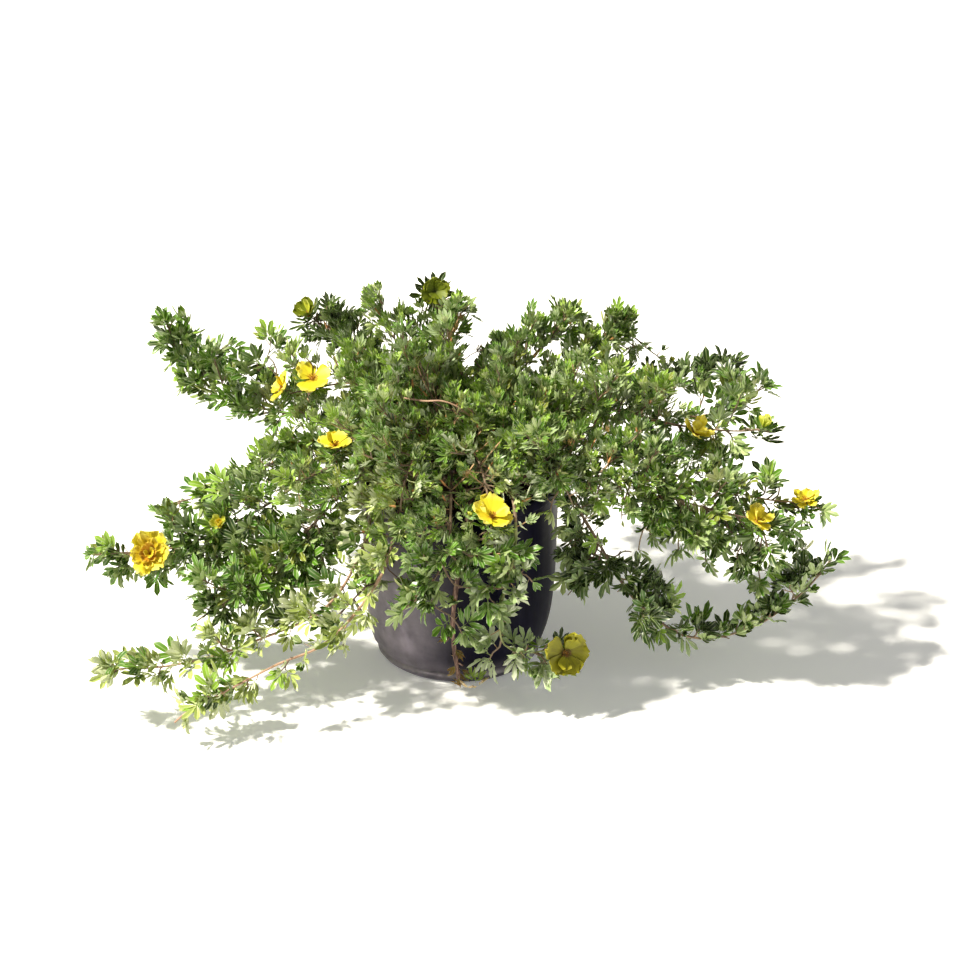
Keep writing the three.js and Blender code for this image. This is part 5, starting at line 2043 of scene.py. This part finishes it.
# %% Pine bark and grit
pine_bark, tree = new_material("pine_bark_chips")
chart = add_node(tree, "UVMap", uv_map="OFBake")
split = add_node(tree, "SeparateXYZ", {"Vector": chart})
flakes = add_node(tree, "ValToRGB", {"Fac": split.outputs["X"]}, [
    (i / len(CHIP_TONES), colour) for i, colour in enumerate(CHIP_TONES.values())
], steps=True)
layers = add_node(tree, "TexNoise", {"Vector": chart, "Scale": 40, "Detail": 3, "Roughness": 0.6})
chip_colour = add_node(tree, "Mix", {
    "Factor": add_node(tree, "ValToRGB", {"Fac": layers}, [(0.4, 0.45), (0.6, 0.0)]),
    6: flakes, 7: linear("#1a100a"),
}, data_type="RGBA")
surface = add_node(tree, "BsdfPrincipled", {
    "Base Color": chip_colour, "Roughness": 0.85, "Specular IOR Level": 0.3,
})
add_node(tree, "OutputMaterial", {"Surface": surface})
chips = placed_piece("bark_chips", chip_places, {"chip": chip}, CHIP_TONES, pine_bark, 30)
finish_piece(chips, "bark_chips", "potting_mix", "soil")

# %% [markdown]
# ## Woody crown and the dead shoot
#
# Every stem rises from a gnarled knot of old wood that half stands out of the mix. It starts as a
# round ball that is cut flat just under the mix, flared at its foot and pushed out in a knob where
# each stem leaves it.

# %% The knot of old wood
CROWN_FLARE = 0.16
KNOB = 2.2 * MM
knot = start_with(
    bpy.ops.mesh.primitive_ico_sphere_add, subdivisions=5, radius=19.2 * MM, location=tuple(CROWN)
)
bpy.ops.object.transform_apply(location=True, rotation=True, scale=True)
edit(knot)
bpy.ops.mesh.select_all(action="SELECT")
bpy.ops.mesh.bisect(
    plane_co=(0, 0, CROWN[2] - 4 * MM), plane_no=(0, 0, 1), clear_inner=True, use_fill=True
)
done()
corners = corner_array(knot) - CROWN
outward = corners / np.linalg.norm(corners, axis=1)[:, None]
push = np.zeros(len(corners))
for line in lines.values():
    root = unit(line.at(0) - CROWN)
    push = np.maximum(push, KNOB * np.exp(-((1 - outward @ root) / 0.016)))
turn = np.arctan2(corners[:, 1], corners[:, 0])
push += 0.5 * MM * np.sin(turn * 9 + 3 * np.sin(corners[:, 2] / (5 * MM)))
push += 0.35 * MM * np.sin(turn * 23 + corners[:, 2] / (1.9 * MM))
low = np.clip(1 - corners[:, 2] / (10 * MM), 0, 1.4)
grown_out = corners + outward * push[:, None]
grown_out[:, :2] *= (1 + CROWN_FLARE * low**2)[:, None]
set_corners(knot, grown_out + CROWN)
knot.data.shade_smooth()
print("knot", len(knot.data.polygons), "faces")

# %% [markdown]
# Old bark is rough and dull. Its strips run upright, a few millimetres wide, grey on the outside and
# red-brown in the furrows between them.

# %% Peeling old bark
STRIP_WIDTH = 2.4 * MM
old_bark, tree = new_material("peeling_old_bark")
place = add_node(tree, "TexCoord").outputs["Object"]
drawn = add_node(tree, "Mapping", {"Vector": place, "Scale": (1, 1, 0.22)})
strips = add_node(tree, "TexNoise", {
    "Vector": drawn, "Scale": 1 / STRIP_WIDTH, "Detail": 5, "Roughness": 0.65,
})
bark_shades = add_node(tree, "ValToRGB", {"Fac": strips}, [
    (0.3, "#33241f"), (0.44, "#604a42"), (0.56, "#8a6e62"), (0.7, "#b3988a"),
])
surface = add_node(tree, "BsdfPrincipled", {
    "Base Color": bark_shades, "Roughness": 0.86, "Specular IOR Level": 0.3,
    "Normal": add_node(tree, "Bump", {"Strength": 0.8, "Distance": 0.7 * MM, "Height": strips}),
})
add_node(tree, "OutputMaterial", {"Surface": surface})
knot.data.materials.append(old_bark)
finish_piece(knot, "knot_of_old_wood", "old_bark", "woody_crown")

# %% [markdown]
# One shoot has died. It hangs bare down the front of the pot to the ground, brown with paler peeling
# strips, a little thicker at its joints, and it has kept three short broken spurs.

# %% The dead shoot
shares = np.linspace(0, 1, 70)
girth = (2.3 - 0.5 * shares) * (1 + 0.1 * np.sin(shares * 61) + 0.14 * (np.sin(shares * 23) > 0.9)) * MM
# Where each broken spur leaves it (0 to 1), which way and how far it reaches, and its radius (mm)
SPURS = [(0.6, (7, -6, 4), 1.1), (0.78, (-6, -5, -6), 1.0), (0.9, (6, -4, -2), 1.0)]
dead = [(dead_line.at(shares), girth, "old")]
for share, reach, wide in SPURS:
    start = dead_line.at(share)
    points = np.array([start + along * np.array(reach) * MM for along in (0, 0.6, 1)])
    dead.append((points, np.array((wide, 0.8 * wide, 0.7 * wide)) * MM, "old"))
dead_shoot = tubes_mesh("dead_shoot", dead, STEM_SIDES, old_bark)
dead_shoot.data.uv_layers.remove(dead_shoot.data.uv_layers[0])
finish_piece(dead_shoot, "dead_shoot", "old_bark", "stem_dry")
